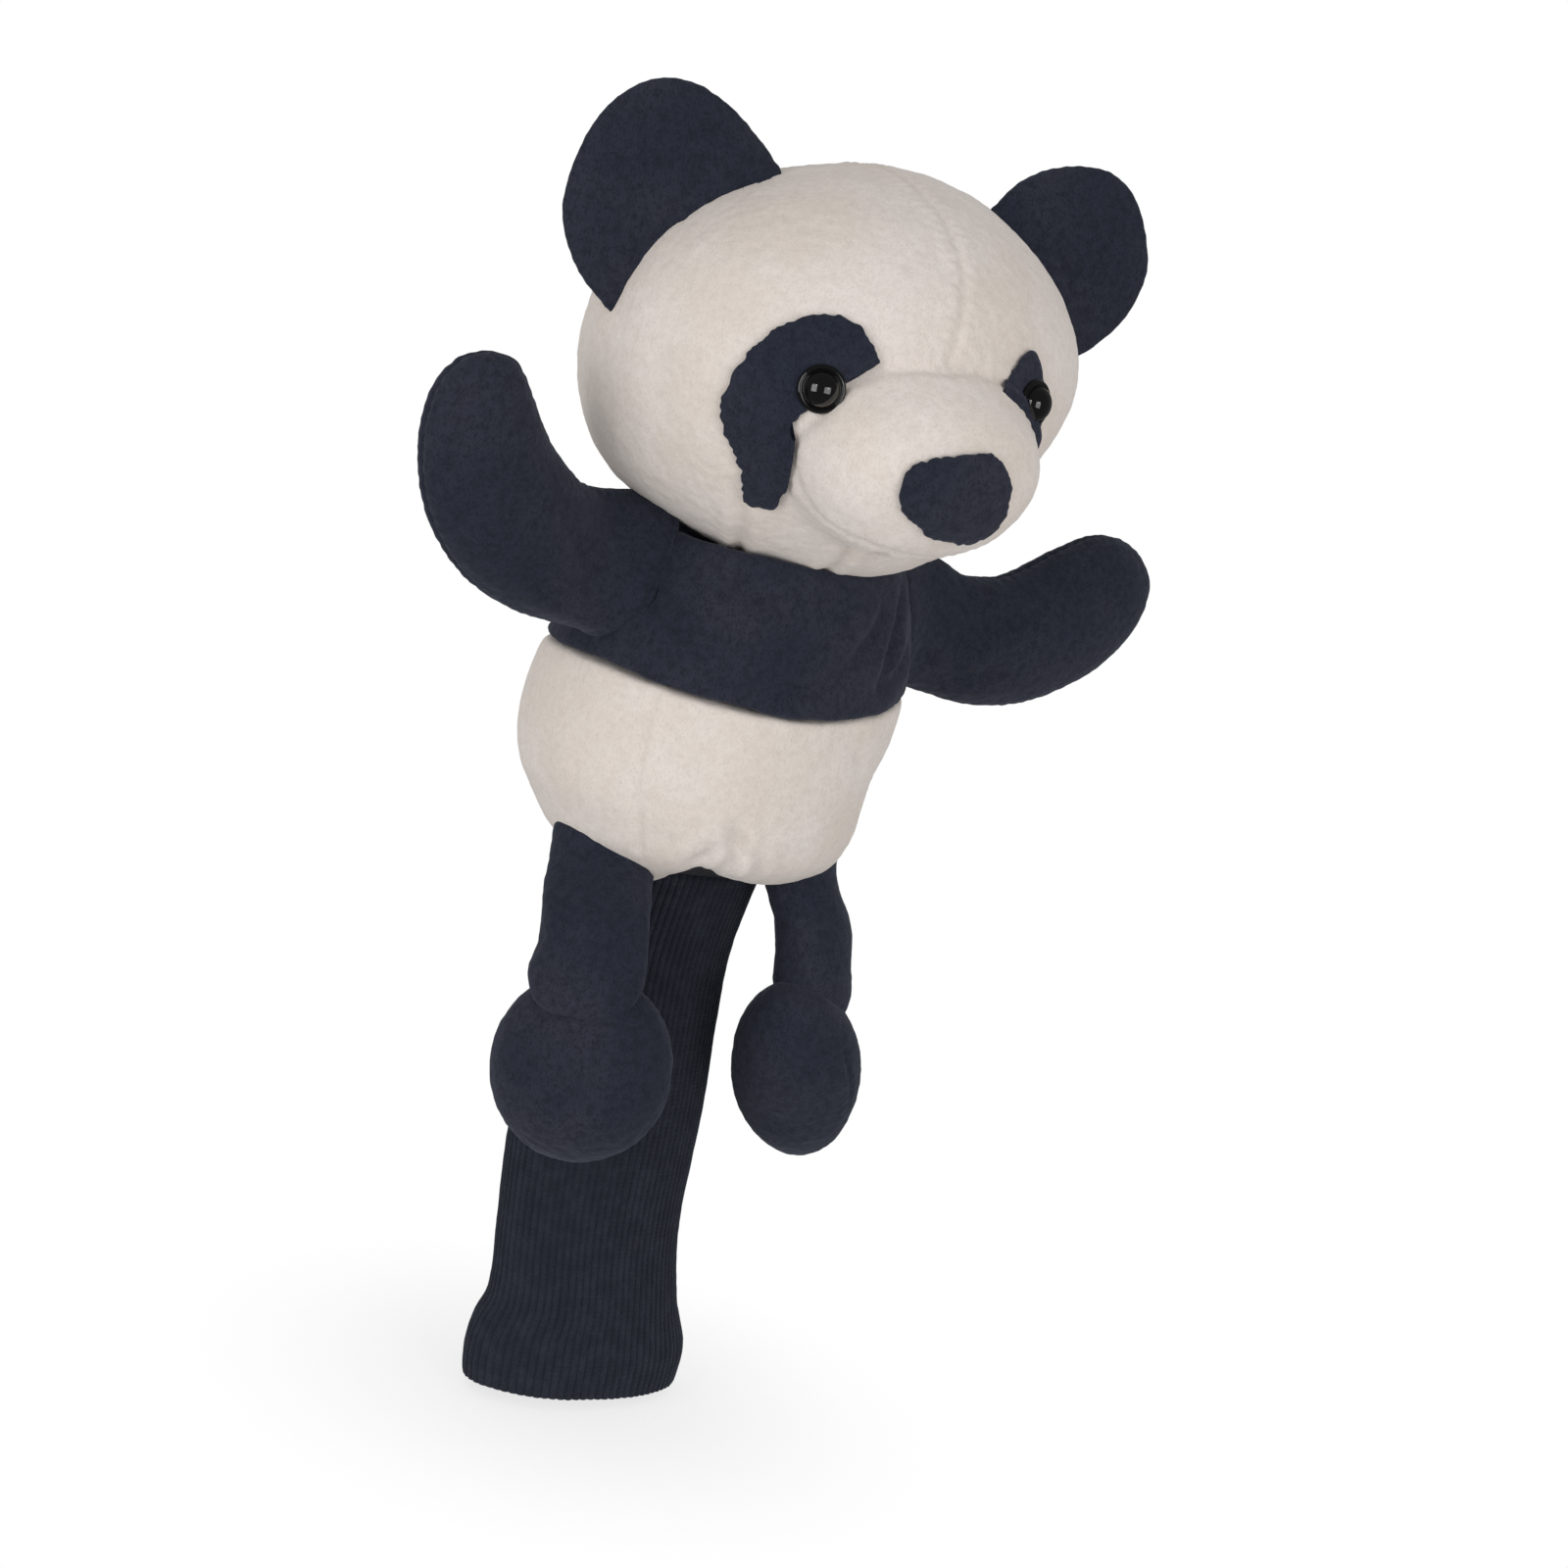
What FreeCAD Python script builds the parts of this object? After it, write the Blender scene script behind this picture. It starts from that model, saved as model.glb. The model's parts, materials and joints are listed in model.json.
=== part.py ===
import FreeCAD, Part
import Sketcher
import math
import os
from FreeCAD import Placement, Rotation, Vector

# A plush animal cover for a golf driver: a stuffed panda with a club pocket in its body,
# above a long ribbed sock that grips the shaft.
# Frame: origin at the centre of the sock's mouth, +Z up the shaft, the face looks along -Y,
# and the animal's right side is at -X. Millimetres.

doc = FreeCAD.newDocument("PlushDriverCover")

SIZES = {
    # fabric and clearances
    "fabric": 2.2,
    "seam_gap": 0.3,
    "joint_gap": 1.0,
    "fit": 0.05,
    "overrun": 1.0,
    # sock
    "hem_height": 224.0,
    "sock_half_width": 40.0,
    "sock_half_depth": 27.0,
    "cuff_half_width": 49.0,
    "cuff_half_depth": 28.0,
    "knit": 3.0,
    "sway_x": -5.7,
    "sway_y": 4.0,
    # body
    "torso_width": 150.0,
    "torso_depth": 132.0,
    "torso_height": 144.0,
    "torso_lean": 27.0,
    "yoke_seam": 300.0,
    # club pocket
    "pocket_half_width": 54.0,
    "pocket_half_depth": 40.0,
    "pocket_height": 113.0,
    "pocket_lean": 16.0,
    "lining": 1.8,
    # head
    "head_y": -38.0,
    "head_z": 424.0,
    "head_yaw": -8.0,
    "head_roll": -7.0,
    "head_half_width": 97.0,
    "head_half_depth": 88.0,
    "head_half_height": 76.0,
    # muzzle and nose
    "muzzle_y": -72.0,
    "muzzle_z": -25.0,
    "muzzle_half_width": 48.0,
    "muzzle_half_depth": 42.0,
    "muzzle_half_height": 36.0,
    "nose_z": -33.0,
    "nose_half_width": 21.0,
    "nose_half_height": 16.0,
    "nose_pile": 2.6,
    # eyes and eye patches
    "eye_x": 41.5,
    "eye_z": -1.5,
    "eye_radius": 8.0,
    "eye_height": 6.0,
    "eye_rim": 1.2,
    "shank_radius": 2.2,
    "shank_length": 13.0,
    "washer_radius": 7.5,
    "washer_thick": 1.4,
    "washer_play": 0.5,
    "patch_pile": 1.6,
    # ears
    "ear_half_width_right": 43.5,
    "ear_half_width_left": 38.0,
    "ear_half_height_right": 46.0,
    "ear_half_height_left": 44.5,
    "ear_half_thick": 5.5,
    "ear_y": -8.0,
    "ear_reach_right": 88.0,
    "ear_reach_left": 97.0,
    "ear_set_right": 55.0,
    "ear_set_left": 62.5,
    "ear_hinge_right": 80.0,
    "ear_hinge_left": 85.0,
    # arms
    "shoulder_x": 58.0,
    "shoulder_y": -20.0,
    "shoulder_z": 332.0,
    "shoulder_radius": 24.0,
    "arm_length": 134.0,
    "arm_half_width": 28.0,
    "arm_half_thick": 20.0,
    "arm_start_right": 2.0,
    "arm_start_left": -8.0,
    "arm_end_right": 79.0,
    "arm_end_left": 30.0,
    "arm_forward_right": 30.0,
    "arm_forward_left": -4.0,
    # legs and feet
    "hip_x": 45.0,
    "hip_y": -35.0,
    "hip_z": 232.0,
    "hip_room": 3.0,
    "leg_splay": 38.0,
    "leg_half_width": 22.5,
    "leg_half_thick": 15.5,
    "leg_length": 52.0,
    "ankle_drop": 48.0,
    "ankle_out_right": 20.0,
    "ankle_out_left": 10.0,
    "foot_drop": 81.0,
    "foot_out_right": 12.0,
    "foot_out_left": 11.0,
    "foot_half_width": 35.5,
    "foot_half_thick": 28.0,
    "foot_half_height": 38.0,
}

RIGHT = -1
LEFT = 1
SIDE_NAMES = {RIGHT: "right", LEFT: "left"}


def make_sheet():
    sheet = doc.addObject("Spreadsheet::Sheet", "Dims")
    for row, (alias, value) in enumerate(SIZES.items(), start=1):
        sheet.set(f"A{row}", alias)
        sheet.set(f"B{row}", str(value))
        sheet.setAlias(f"B{row}", alias)
    doc.recompute()
    return sheet


dims = make_sheet()


def size(alias):
    """The number that a sheet cell holds."""
    return float(dims.get(alias))


def cell(alias):
    """The cell's name as an expression reads it."""
    return f"Dims.{alias}"


def bind(thing, **expressions):
    for prop, expression in expressions.items():
        thing.setExpression(prop, expression)
    return thing


def add(kind, name, place=None, **expressions):
    thing = doc.addObject(kind, name)
    bind(thing, **expressions)
    if place is not None:
        thing.Placement = place
    return thing


def cut(name, base, tool, place=None):
    thing = add("Part::Cut", name, place)
    thing.Base = base
    thing.Tool = tool
    return thing


def cut_each(name, base, tools, place=None):
    """Cut the tools away one after another; the last cut carries the name and the placement."""
    for i, tool in enumerate(tools[:-1]):
        base = cut(f"{name}_cut{i}", base, tool)
    return cut(name, base, tools[-1], place)


def common(name, base, tool, place=None):
    thing = add("Part::Common", name, place)
    thing.Base = base
    thing.Tool = tool
    return thing


def fuse(name, shapes, place=None):
    thing = add("Part::MultiFuse", name, place)
    thing.Shapes = shapes
    return thing


def ellipsoid(name, half_x, half_y, half_z, place=None, grow="0"):
    """A whole ellipsoid; the three half axes and the growth are expressions."""
    thing = add("Part::Ellipsoid", name, place)
    thing.Angle1 = -90
    thing.Angle2 = 90
    return bind(thing, Radius2=f"{half_x} + {grow}", Radius3=f"{half_y} + {grow}", Radius1=f"{half_z} + {grow}")


def ball(name, radius, place=None):
    return add("Part::Sphere", name, place, Radius=radius)


def cylinder(name, radius, height, place=None):
    return add("Part::Cylinder", name, place, Radius=radius, Height=height)


def loft(name, ovals):
    thing = doc.addObject("Part::Loft", name)
    thing.Sections = ovals
    thing.Solid = True
    thing.Ruled = False
    return thing


def oval(name, half_width, half_depth, place):
    return add("Part::Ellipse", name, place, MajorRadius=half_width, MinorRadius=half_depth)


# ---------------------------------------------------------------- sock

# share of the sock's height, share of its half width and depth, share of the way to the flared cuff,
# share of its sway off the straight line
SOCK_STATIONS = [
    (0.0, 1.0, 0.85, 0.0), (0.035, 1.0, 1.0, 0.05), (0.08, 1.0, 0.95, 0.15), (0.12, 1.0, 0.6, 0.28),
    (0.16, 1.0, 0.15, 0.40), (0.20, 1.0, 0.0, 0.52), (0.27, 1.0, 0.0, 0.70), (0.35, 1.02, 0.0, 0.88),
    (0.44, 1.05, 0.0, 1.0), (0.56, 1.09, 0.0, 0.88), (0.70, 1.11, 0.0, 0.52), (0.85, 1.12, 0.0, 0.16),
    (1.0, 1.12, 0.0, 0.0),
]
HEM_FULLNESS = SOCK_STATIONS[-1][1]


def sock_solid(name, inset, overrun):
    """The sock's outer shape, or its hollow when inset; overrun lets the hollow pass both ends."""
    ovals = []
    last = len(SOCK_STATIONS) - 1
    for i, (share, fullness, flare, sway) in enumerate(SOCK_STATIONS):
        height = share * size("hem_height")
        if i == 0:
            height -= overrun
        if i == last:
            height += overrun
        widening = f"(Dims.cuff_half_width - Dims.sock_half_width) * {flare}"
        deepening = f"(Dims.cuff_half_depth - Dims.sock_half_depth) * {flare}"
        half_width = f"Dims.sock_half_width * {fullness} + {widening} - {inset}"
        half_depth = f"Dims.sock_half_depth * {fullness} + {deepening} - {inset}"
        middle = Vector(sway * size("sway_x"), sway * size("sway_y"), height)
        ovals.append(oval(f"{name}_oval{i}", half_width, half_depth, Placement(middle, Rotation())))
    return loft(name, ovals)


def make_sock():
    outside = sock_solid("sock_outside", "0", 0)
    inside = sock_solid("sock_inside", cell("knit"), size("overrun"))
    return cut("sock", outside, inside)


# ---------------------------------------------------------------- club pocket

# share of the pocket's height, share of its full half width and depth, share of its lean.
# Below these comes the sock's own oval. The bag widens above the legs and closes between the shoulders.
POCKET_STATIONS = [
    (0.12, 0.82, 0.20), (0.26, 0.93, 0.50), (0.42, 1.0, 0.70), (0.60, 0.98, 0.85), (0.71, 0.85, 0.95),
    (0.80, 0.70, 1.0), (0.90, 0.58, 1.0), (0.97, 0.44, 1.0), (1.0, 0.25, 1.0),
]


def pocket_solid(name, grow, start_overrun, top_drop):
    """The pocket's bag shape, grown outwards by a number of millimetres."""
    base = size("hem_height")
    wide = size("pocket_half_width")
    deep = size("pocket_half_depth")
    tall = size("pocket_height") - top_drop
    lean = size("pocket_lean")
    sock_wide = size("sock_half_width") * HEM_FULLNESS
    sock_deep = size("sock_half_depth") * HEM_FULLNESS
    sections = [(base, sock_wide, sock_deep, 0.0)]
    if start_overrun:
        sections.insert(0, (base - start_overrun, sock_wide, sock_deep, 0.0))
    for share, fullness, leaning in POCKET_STATIONS:
        sections.append((base + share * tall, wide * fullness, deep * fullness, -lean * leaning))
    ovals = []
    for i, (height, half_width, half_depth, forward) in enumerate(sections):
        place = Placement(Vector(0, forward, height), Rotation())
        ovals.append(oval(f"{name}_oval{i}", f"{half_width} + {grow}", f"{half_depth} + {grow}", place))
    return loft(name, ovals)


def make_pocket():
    outside = pocket_solid("pocket_outside", 0, 0, 0)
    hollow = pocket_solid("pocket_hollow", -size("lining"), size("overrun"), size("lining"))
    return cut("pocket_lining", outside, hollow)


# ---------------------------------------------------------------- head frame


def head_frame():
    turn = Rotation(Vector(0, 0, 1), size("head_yaw")) * Rotation(Vector(0, 1, 0), size("head_roll"))
    return Placement(Vector(0, size("head_y"), size("head_z")), turn)


HEAD = head_frame()


def head_solid(name, grow="0"):
    return ellipsoid(name, cell("head_half_width"), cell("head_half_depth"), cell("head_half_height"), grow=grow)


def muzzle_solid(name, grow="0"):
    place = Placement(Vector(0, size("muzzle_y"), size("muzzle_z")), Rotation())
    return ellipsoid(
        name, cell("muzzle_half_width"), cell("muzzle_half_depth"), cell("muzzle_half_height"), place, grow
    )


def make_dish():
    """The hollow in the body's top that the turning head sits in: round about the head's own axis."""
    gap = cell("joint_gap")
    return ellipsoid(
        "head_dish", cell("head_half_width"), cell("head_half_width"), cell("head_half_height"), HEAD, gap
    )


# ---------------------------------------------------------------- arms

# share of the arm's length, share of its full half width
ARM_STATIONS = [
    (0.0, 0.60), (0.12, 0.66), (0.24, 0.78), (0.40, 0.93), (0.58, 1.0), (0.76, 0.96), (0.88, 0.80), (0.95, 0.58),
    (0.995, 0.24),
]
ARM_STEPS = 100


def shoulder(side):
    return Vector(side * size("shoulder_x"), size("shoulder_y"), size("shoulder_z"))


def arm_point(side, share, length):
    """The arm's centre line: it leaves the shoulder outwards and curls upwards. Returns place and heading."""
    word = SIDE_NAMES[side]
    start = math.radians(size(f"arm_start_{word}"))
    turn = math.radians(size(f"arm_end_{word}")) - start
    point = shoulder(side)
    heading = start
    steps = round(ARM_STEPS * share)
    for i in range(steps):
        along = (i + 0.5) / ARM_STEPS
        heading = start + turn * (3 * along**2 - 2 * along**3)
        point = point + Vector(side * math.cos(heading), 0, math.sin(heading)) * (length / ARM_STEPS)
    point.y -= size(f"arm_forward_{word}") * share
    return point, heading


def arm_solid(side, name, inset):
    ovals = []
    for i, (share, fullness) in enumerate(ARM_STATIONS):
        point, heading = arm_point(side, share, size("arm_length") - inset)
        along = Vector(side * math.cos(heading), 0, math.sin(heading))
        across = Vector(-side * math.sin(heading), 0, math.cos(heading))
        facing = Rotation(across, along.cross(across), along, "ZXY")
        ovals.append(
            oval(
                f"{name}_oval{i}",
                f"Dims.arm_half_width * {fullness} - {inset}",
                f"Dims.arm_half_thick * {fullness} - {inset}",
                Placement(point, facing),
            )
        )
    blade = loft(f"{name}_blade", ovals)
    root = ball(f"{name}_root", f"Dims.shoulder_radius - {inset}", Placement(shoulder(side), Rotation()))
    return fuse(name, [blade, root])


def make_arm(side):
    word = SIDE_NAMES[side]
    outside = arm_solid(side, f"arm_{word}_outside", 0)
    inside = arm_solid(side, f"arm_{word}_inside", size("fabric"))
    skin = cut(f"arm_skin_{word}", outside, inside)
    stuffing = arm_solid(side, f"arm_stuffing_{word}", size("fabric") + size("seam_gap"))
    return [skin, stuffing]


def shoulder_socket(side):
    return ball(
        f"shoulder_socket_{SIDE_NAMES[side]}",
        "Dims.shoulder_radius + 1.5 * Dims.joint_gap",
        Placement(shoulder(side), Rotation()),
    )


# ---------------------------------------------------------------- legs and feet

# distance above or below the hip as a share of the leg's length, share of the leg's full half width
LEG_STATIONS = [(0.25, 0.42), (0.17, 0.70), (0.05, 0.88), (-0.18, 0.98), (-0.60, 1.0), (-1.0, 0.94)]
LEG_SWING = 45
FOOT_FLEXES = (0, 6, 12, 18, 25)


def leg_frame(side):
    """Placement of the hip: local -Y is the way the leg faces and swings, local X runs across it."""
    place = Vector(side * size("hip_x"), size("hip_y"), size("hip_z"))
    return Placement(place, Rotation(Vector(0, 0, 1), side * size("leg_splay")))


def swing(angle, pivot=Vector(0, 0, 0)):
    """A turn about the local X axis through the pivot that carries what hangs below it outwards."""
    return Placement(Vector(0, 0, 0), Rotation(Vector(1, 0, 0), -angle), pivot)


def ankle(side):
    return Vector(0, -size(f"ankle_out_{SIDE_NAMES[side]}"), -size("ankle_drop"))


def leg_solid(side, name, grow):
    ovals = []
    lean = size(f"ankle_out_{SIDE_NAMES[side]}") / size("ankle_drop")
    for i, (share, fullness) in enumerate(LEG_STATIONS):
        height = share * size("leg_length")
        if i == 0:
            height += grow
        local = Placement(Vector(0, min(height, 0) * lean, height), Rotation())
        place = leg_frame(side) * local
        half_width = f"Dims.leg_half_width * {fullness} + {grow}"
        half_thick = f"Dims.leg_half_thick * {fullness} + {grow}"
        ovals.append(oval(f"{name}_oval{i}", half_width, half_thick, place))
    return loft(name, ovals)


def foot_solid(side, name, grow, angle=0):
    centre = Placement(Vector(0, -size(f"foot_out_{SIDE_NAMES[side]}"), -size("foot_drop")), Rotation())
    place = leg_frame(side) * swing(angle, ankle(side)) * centre
    return ellipsoid(
        name, cell("foot_half_width"), cell("foot_half_thick"), cell("foot_half_height"), place, grow
    )


def make_leg(side):
    word = SIDE_NAMES[side]
    fabric = size("fabric")
    gap = size("seam_gap")
    foot_way = [
        foot_solid(side, f"foot_sweep_{word}_{flex}", cell("joint_gap"), flex) for flex in FOOT_FLEXES
    ]
    outside = leg_solid(side, f"leg_{word}_outside", 0)
    inside = leg_solid(side, f"leg_{word}_inside", -fabric)
    shell = cut(f"leg_{word}_shell", outside, inside)
    skin = cut_each(f"leg_skin_{word}", shell, foot_way)
    filling = leg_solid(side, f"leg_{word}_filling", -fabric - gap)
    stuffing = cut_each(f"leg_stuffing_{word}", filling, foot_way)
    return [skin, stuffing]


def make_foot(side):
    word = SIDE_NAMES[side]
    outside = foot_solid(side, f"foot_{word}_outside", "0")
    inside = foot_solid(side, f"foot_{word}_inside", "-Dims.fabric")
    skin = cut(f"foot_skin_{word}", outside, inside)
    stuffing = foot_solid(side, f"foot_stuffing_{word}", "-Dims.fabric - Dims.seam_gap")
    return [skin, stuffing]


def leg_way(side):
    """The space the leg swings through: round about its hinge, and open below it on the outer side."""
    word = SIDE_NAMES[side]
    radius = size("leg_half_thick") + size("hip_room")
    half_width = size("leg_half_width") + size("joint_gap")
    hinge = leg_frame(side) * Placement(Vector(-half_width, 0, 0), Rotation(Vector(0, 1, 0), 90))
    rooms = [cylinder(f"hip_way_{word}", "Dims.leg_half_thick + Dims.hip_room", f"{2 * half_width}", hinge)]
    reach = 2 * size("leg_length")
    for angle, outwards in ((0, reach), (LEG_SWING, radius)):
        corner = Placement(Vector(-half_width, -outwards, -reach), Rotation())
        slot = add("Part::Box", f"leg_way_{word}_{angle}", leg_frame(side) * swing(angle) * corner)
        slot.Length = 2 * half_width
        slot.Width = outwards + radius
        slot.Height = reach
        rooms.append(slot)
    return rooms


# ---------------------------------------------------------------- body

# share of the torso's height above the hem, share of its width and depth, share of its lean
TORSO_STATIONS = [
    (0.0, 0.66, 0.33), (0.06, 0.81, 0.34), (0.15, 0.92, 0.36), (0.27, 0.985, 0.38), (0.40, 1.0, 0.40),
    (0.54, 0.98, 0.46), (0.69, 0.91, 0.62), (0.84, 0.79, 0.80), (1.0, 0.62, 1.0),
]


def torso_solid(name, inset):
    ovals = []
    for i, (share, fullness, leaning) in enumerate(TORSO_STATIONS):
        height = size("hem_height") + share * size("torso_height")
        if i == 0:
            height += inset
        place = Placement(Vector(0, -leaning * size("torso_lean"), height), Rotation())
        half_width = f"Dims.torso_width / 2 * {fullness} - {inset}"
        half_depth = f"Dims.torso_depth / 2 * {fullness} - {inset}"
        ovals.append(oval(f"{name}_oval{i}", half_width, half_depth, place))
    return loft(name, ovals)


def half_space(name, low, high):
    """A big block between two heights."""
    reach = 2 * size("torso_width")
    place = Placement(Vector(-reach / 2, -reach / 2, low), Rotation())
    block = add("Part::Box", name, place)
    block.Length = reach
    block.Width = reach
    block.Height = high - low
    return block


def make_torso():
    fabric = size("fabric")
    gap = size("seam_gap")
    seam = size("yoke_seam")
    base = size("hem_height")
    reach = base + 2 * size("torso_height")
    pocket_room = pocket_solid("pocket_room", size("seam_gap"), 2 * size("overrun"), 0)
    ways = leg_way(RIGHT) + leg_way(LEFT)
    ways += [make_dish(), pocket_room, shoulder_socket(RIGHT), shoulder_socket(LEFT)]
    outside = torso_solid("torso_outside", 0)
    inside = torso_solid("torso_inside", fabric)
    shell = cut("torso_shell", outside, inside)
    trimmed = cut_each("torso_trimmed", shell, ways)
    belly = common("belly_skin", trimmed, half_space("below_seam", base - size("overrun"), seam))
    chest = common("chest_skin", trimmed, half_space("above_seam", seam, reach))
    filling = torso_solid("torso_filling", fabric + gap)
    stuffing = cut_each("body_stuffing", filling, ways)
    return [belly, chest, stuffing]


# ---------------------------------------------------------------- eyes


def eye_place(side):
    """Where an eye's flange meets the head, in the head's own frame; local +Z looks out of the face."""
    wide = size("head_half_width")
    deep = size("head_half_depth")
    tall = size("head_half_height")
    across = side * size("eye_x")
    up = size("eye_z")
    front = -deep * math.sqrt(1 - (across / wide) ** 2 - (up / tall) ** 2)
    normal = Vector(across / wide**2, front / deep**2, up / tall**2)
    normal.normalize()
    point = Vector(across, front, up) + normal * size("patch_pile")
    return Placement(point, Rotation(Vector(0, 0, 1), normal))


def below(place, depth):
    """The same placement moved a depth into the head."""
    return place * Placement(Vector(0, 0, -depth), Rotation())


def make_eye(side):
    """A domed plastic safety eye with a rim and a shank."""
    word = SIDE_NAMES[side]
    place = eye_place(side)
    rim_top = below(place, -size("eye_rim"))
    dome = add("Part::Ellipsoid", f"eye_{word}_dome", rim_top)
    dome.Angle1 = 0
    dome.Angle2 = 90
    bind(dome, Radius1="Dims.eye_height - Dims.eye_rim", Radius2=cell("eye_radius"), Radius3=cell("eye_radius"))
    rim = cylinder(f"eye_{word}_rim", cell("eye_radius"), cell("eye_rim"), place)
    shank_place = below(place, size("shank_length"))
    shank = cylinder(f"eye_{word}_shank", cell("shank_radius"), "Dims.shank_length + Dims.eye_rim / 2", shank_place)
    return fuse(f"eye_{word}", [dome, rim, shank], HEAD)


def washer_depth():
    """How far under the eye's flange the washer's outer face lies."""
    return size("patch_pile") + size("fabric") + size("seam_gap") + 2 * size("washer_play")


def circle_sketch(body, name, radii):
    """A sketch of concentric circles on the body's own XY plane, their radii bound to expressions."""
    sketch = body.newObject("Sketcher::SketchObject", name)
    plane = next(f for f in body.Origin.OriginFeatures if f.Role == "XY_Plane")
    sketch.AttachmentSupport = (plane, [""])
    sketch.MapMode = "FlatFace"
    for i, expression in enumerate(radii):
        sketch.addGeometry(Part.Circle(Vector(0, 0, 0), Vector(0, 0, 1), i + 1.0))
        sketch.addConstraint(Sketcher.Constraint("Coincident", i, 3, -1, 1))
        index = sketch.addConstraint(Sketcher.Constraint("Radius", i, i + 1.0))
        sketch.setExpression(f"Constraints[{index}]", expression)
    return sketch


def make_washer(side):
    """The ring washer pushed onto the shank inside the head to lock the eye."""
    word = SIDE_NAMES[side]
    body = doc.addObject("PartDesign::Body", f"eye_washer_{word}")
    sketch = circle_sketch(body, f"eye_washer_{word}_rings", ["Dims.shank_radius + Dims.fit", cell("washer_radius")])
    pad = body.newObject("PartDesign::Pad", f"eye_washer_{word}_pad")
    pad.Profile = sketch
    pad.setExpression("Length", cell("washer_thick"))
    sketch.Visibility = False
    body.Placement = HEAD * below(eye_place(side), washer_depth() + size("washer_thick"))
    return body


def shank_hole(side, name):
    """A hole that follows the shank and runs on out of the face."""
    place = below(eye_place(side), size("shank_length"))
    return cylinder(name, "Dims.shank_radius + Dims.fit", "2 * Dims.shank_length", place)


def washer_room(side, name):
    """The space in the stuffing for a washer and the end of its shank."""
    depth = size("shank_length") + size("lining")
    place = below(eye_place(side), depth)
    return cylinder(name, "Dims.washer_radius + Dims.washer_play", f"{2 * depth}", place)


def eye_room(side, name):
    """The space in front of the head that an eye's flange and dome stand in."""
    place = below(eye_place(side), size("patch_pile"))
    return cylinder(name, "Dims.eye_radius + Dims.seam_gap", "2 * Dims.shank_length", place)


# ---------------------------------------------------------------- head pieces


def make_head():
    outside = head_solid("head_outside")
    inside = head_solid("head_inside", "-Dims.fabric")
    shell = cut("head_shell", outside, inside)
    holes = [shank_hole(side, f"head_hole_{SIDE_NAMES[side]}") for side in (RIGHT, LEFT)]
    skin = cut("head_skin", shell, fuse("head_holes", holes), HEAD)
    filling = head_solid("head_filling", "-Dims.fabric - Dims.seam_gap")
    rooms = [washer_room(side, f"washer_room_{SIDE_NAMES[side]}") for side in (RIGHT, LEFT)]
    stuffing = cut("head_stuffing", filling, fuse("washer_rooms", rooms), HEAD)
    return [skin, stuffing]


def make_muzzle():
    outside = muzzle_solid("muzzle_outside")
    inside = muzzle_solid("muzzle_inside", "-Dims.fabric")
    shell = cut("muzzle_shell", outside, inside)
    eyes = [eye_room(side, f"eye_room_{SIDE_NAMES[side]}") for side in (RIGHT, LEFT)]
    skin = cut_each("muzzle_skin", shell, [head_solid("head_under_muzzle", cell("fit"))] + eyes, HEAD)
    filling = muzzle_solid("muzzle_filling", "-Dims.fabric - Dims.seam_gap")
    under = head_solid("head_under_filling", cell("seam_gap"))
    stuffing = cut_each("muzzle_stuffing", filling, [under] + eyes, HEAD)
    return [skin, stuffing]


def make_nose():
    """An oval patch of dark plush that lies on the muzzle's front."""
    base = muzzle_solid("nose_base", cell("fit"))
    pile = cut("nose_pile_shell", muzzle_solid("nose_top", cell("nose_pile")), base)
    front = size("muzzle_y") - size("muzzle_half_depth")
    place = Placement(Vector(0, front, size("nose_z")), Rotation())
    deep = "Dims.muzzle_half_depth / 2"
    outline = ellipsoid("nose_outline", cell("nose_half_width"), deep, cell("nose_half_height"), place)
    return common("nose", pile, outline, HEAD)


# The dark patch round an eye is a leaning oval with a lobe that points at the bridge of the nose:
# centre across and up, half width, half height, lean in degrees.
PATCH_OVALS = [("oval", 52.5, -13.0, 16.5, 33.0, 8.0), ("lobe", 40.0, 6.0, 18.0, 12.0, -12.0)]


def make_patch(side):
    word = SIDE_NAMES[side]
    name = f"eye_patch_{word}"
    base = head_solid(f"{name}_base", cell("fit"))
    pile = cut(f"{name}_shell", head_solid(f"{name}_top", cell("patch_pile")), base)
    front = -size("head_half_depth")
    blanks = []
    for part, across, up, half_width, half_height, lean in PATCH_OVALS:
        place = Placement(Vector(side * across, front, up), Rotation(Vector(0, 1, 0), -side * lean))
        deep = cell("head_half_depth")
        blanks.append(ellipsoid(f"{name}_{part}", f"{half_width}", deep, f"{half_height}", place))
    outline = common(f"{name}_outline", pile, fuse(f"{name}_blank", blanks))
    room = [muzzle_solid(f"{name}_muzzle", cell("fit")), shank_hole(side, f"{name}_hole")]
    return cut_each(name, outline, room, HEAD)


EAR_FOLDS = (-30, -15, 0, 15, 30)


def make_ear(side):
    """A flat padded ear, two layers of plush seamed round the edge, clear of the head as it folds."""
    word = SIDE_NAMES[side]
    name = f"ear_{word}"
    angle = math.radians(size(f"ear_set_{word}"))
    outwards = Vector(side * math.sin(angle), 0, math.cos(angle))
    along_base = Vector(math.cos(angle), 0, -side * math.sin(angle))
    set_back = Vector(0, size("ear_y"), 0)
    upright = Rotation(Vector(0, 1, 0), side * size(f"ear_set_{word}"))
    centre = Placement(outwards * size(f"ear_reach_{word}") + set_back, upright)
    hinge = outwards * size(f"ear_hinge_{word}") + set_back
    half_width = cell(f"ear_half_width_{word}")
    half_height = cell(f"ear_half_height_{word}")
    disc = ellipsoid(f"{name}_disc", half_width, cell("ear_half_thick"), half_height, centre)
    folded = []
    for i, fold in enumerate(EAR_FOLDS):
        head = head_solid(f"{name}_head_{i}", cell("joint_gap"))
        head.Placement = Placement(Vector(0, 0, 0), Rotation(along_base, fold), hinge)
        folded.append(head)
    return cut_each(name, disc, folded, HEAD)


# ---------------------------------------------------------------- all pieces


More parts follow.
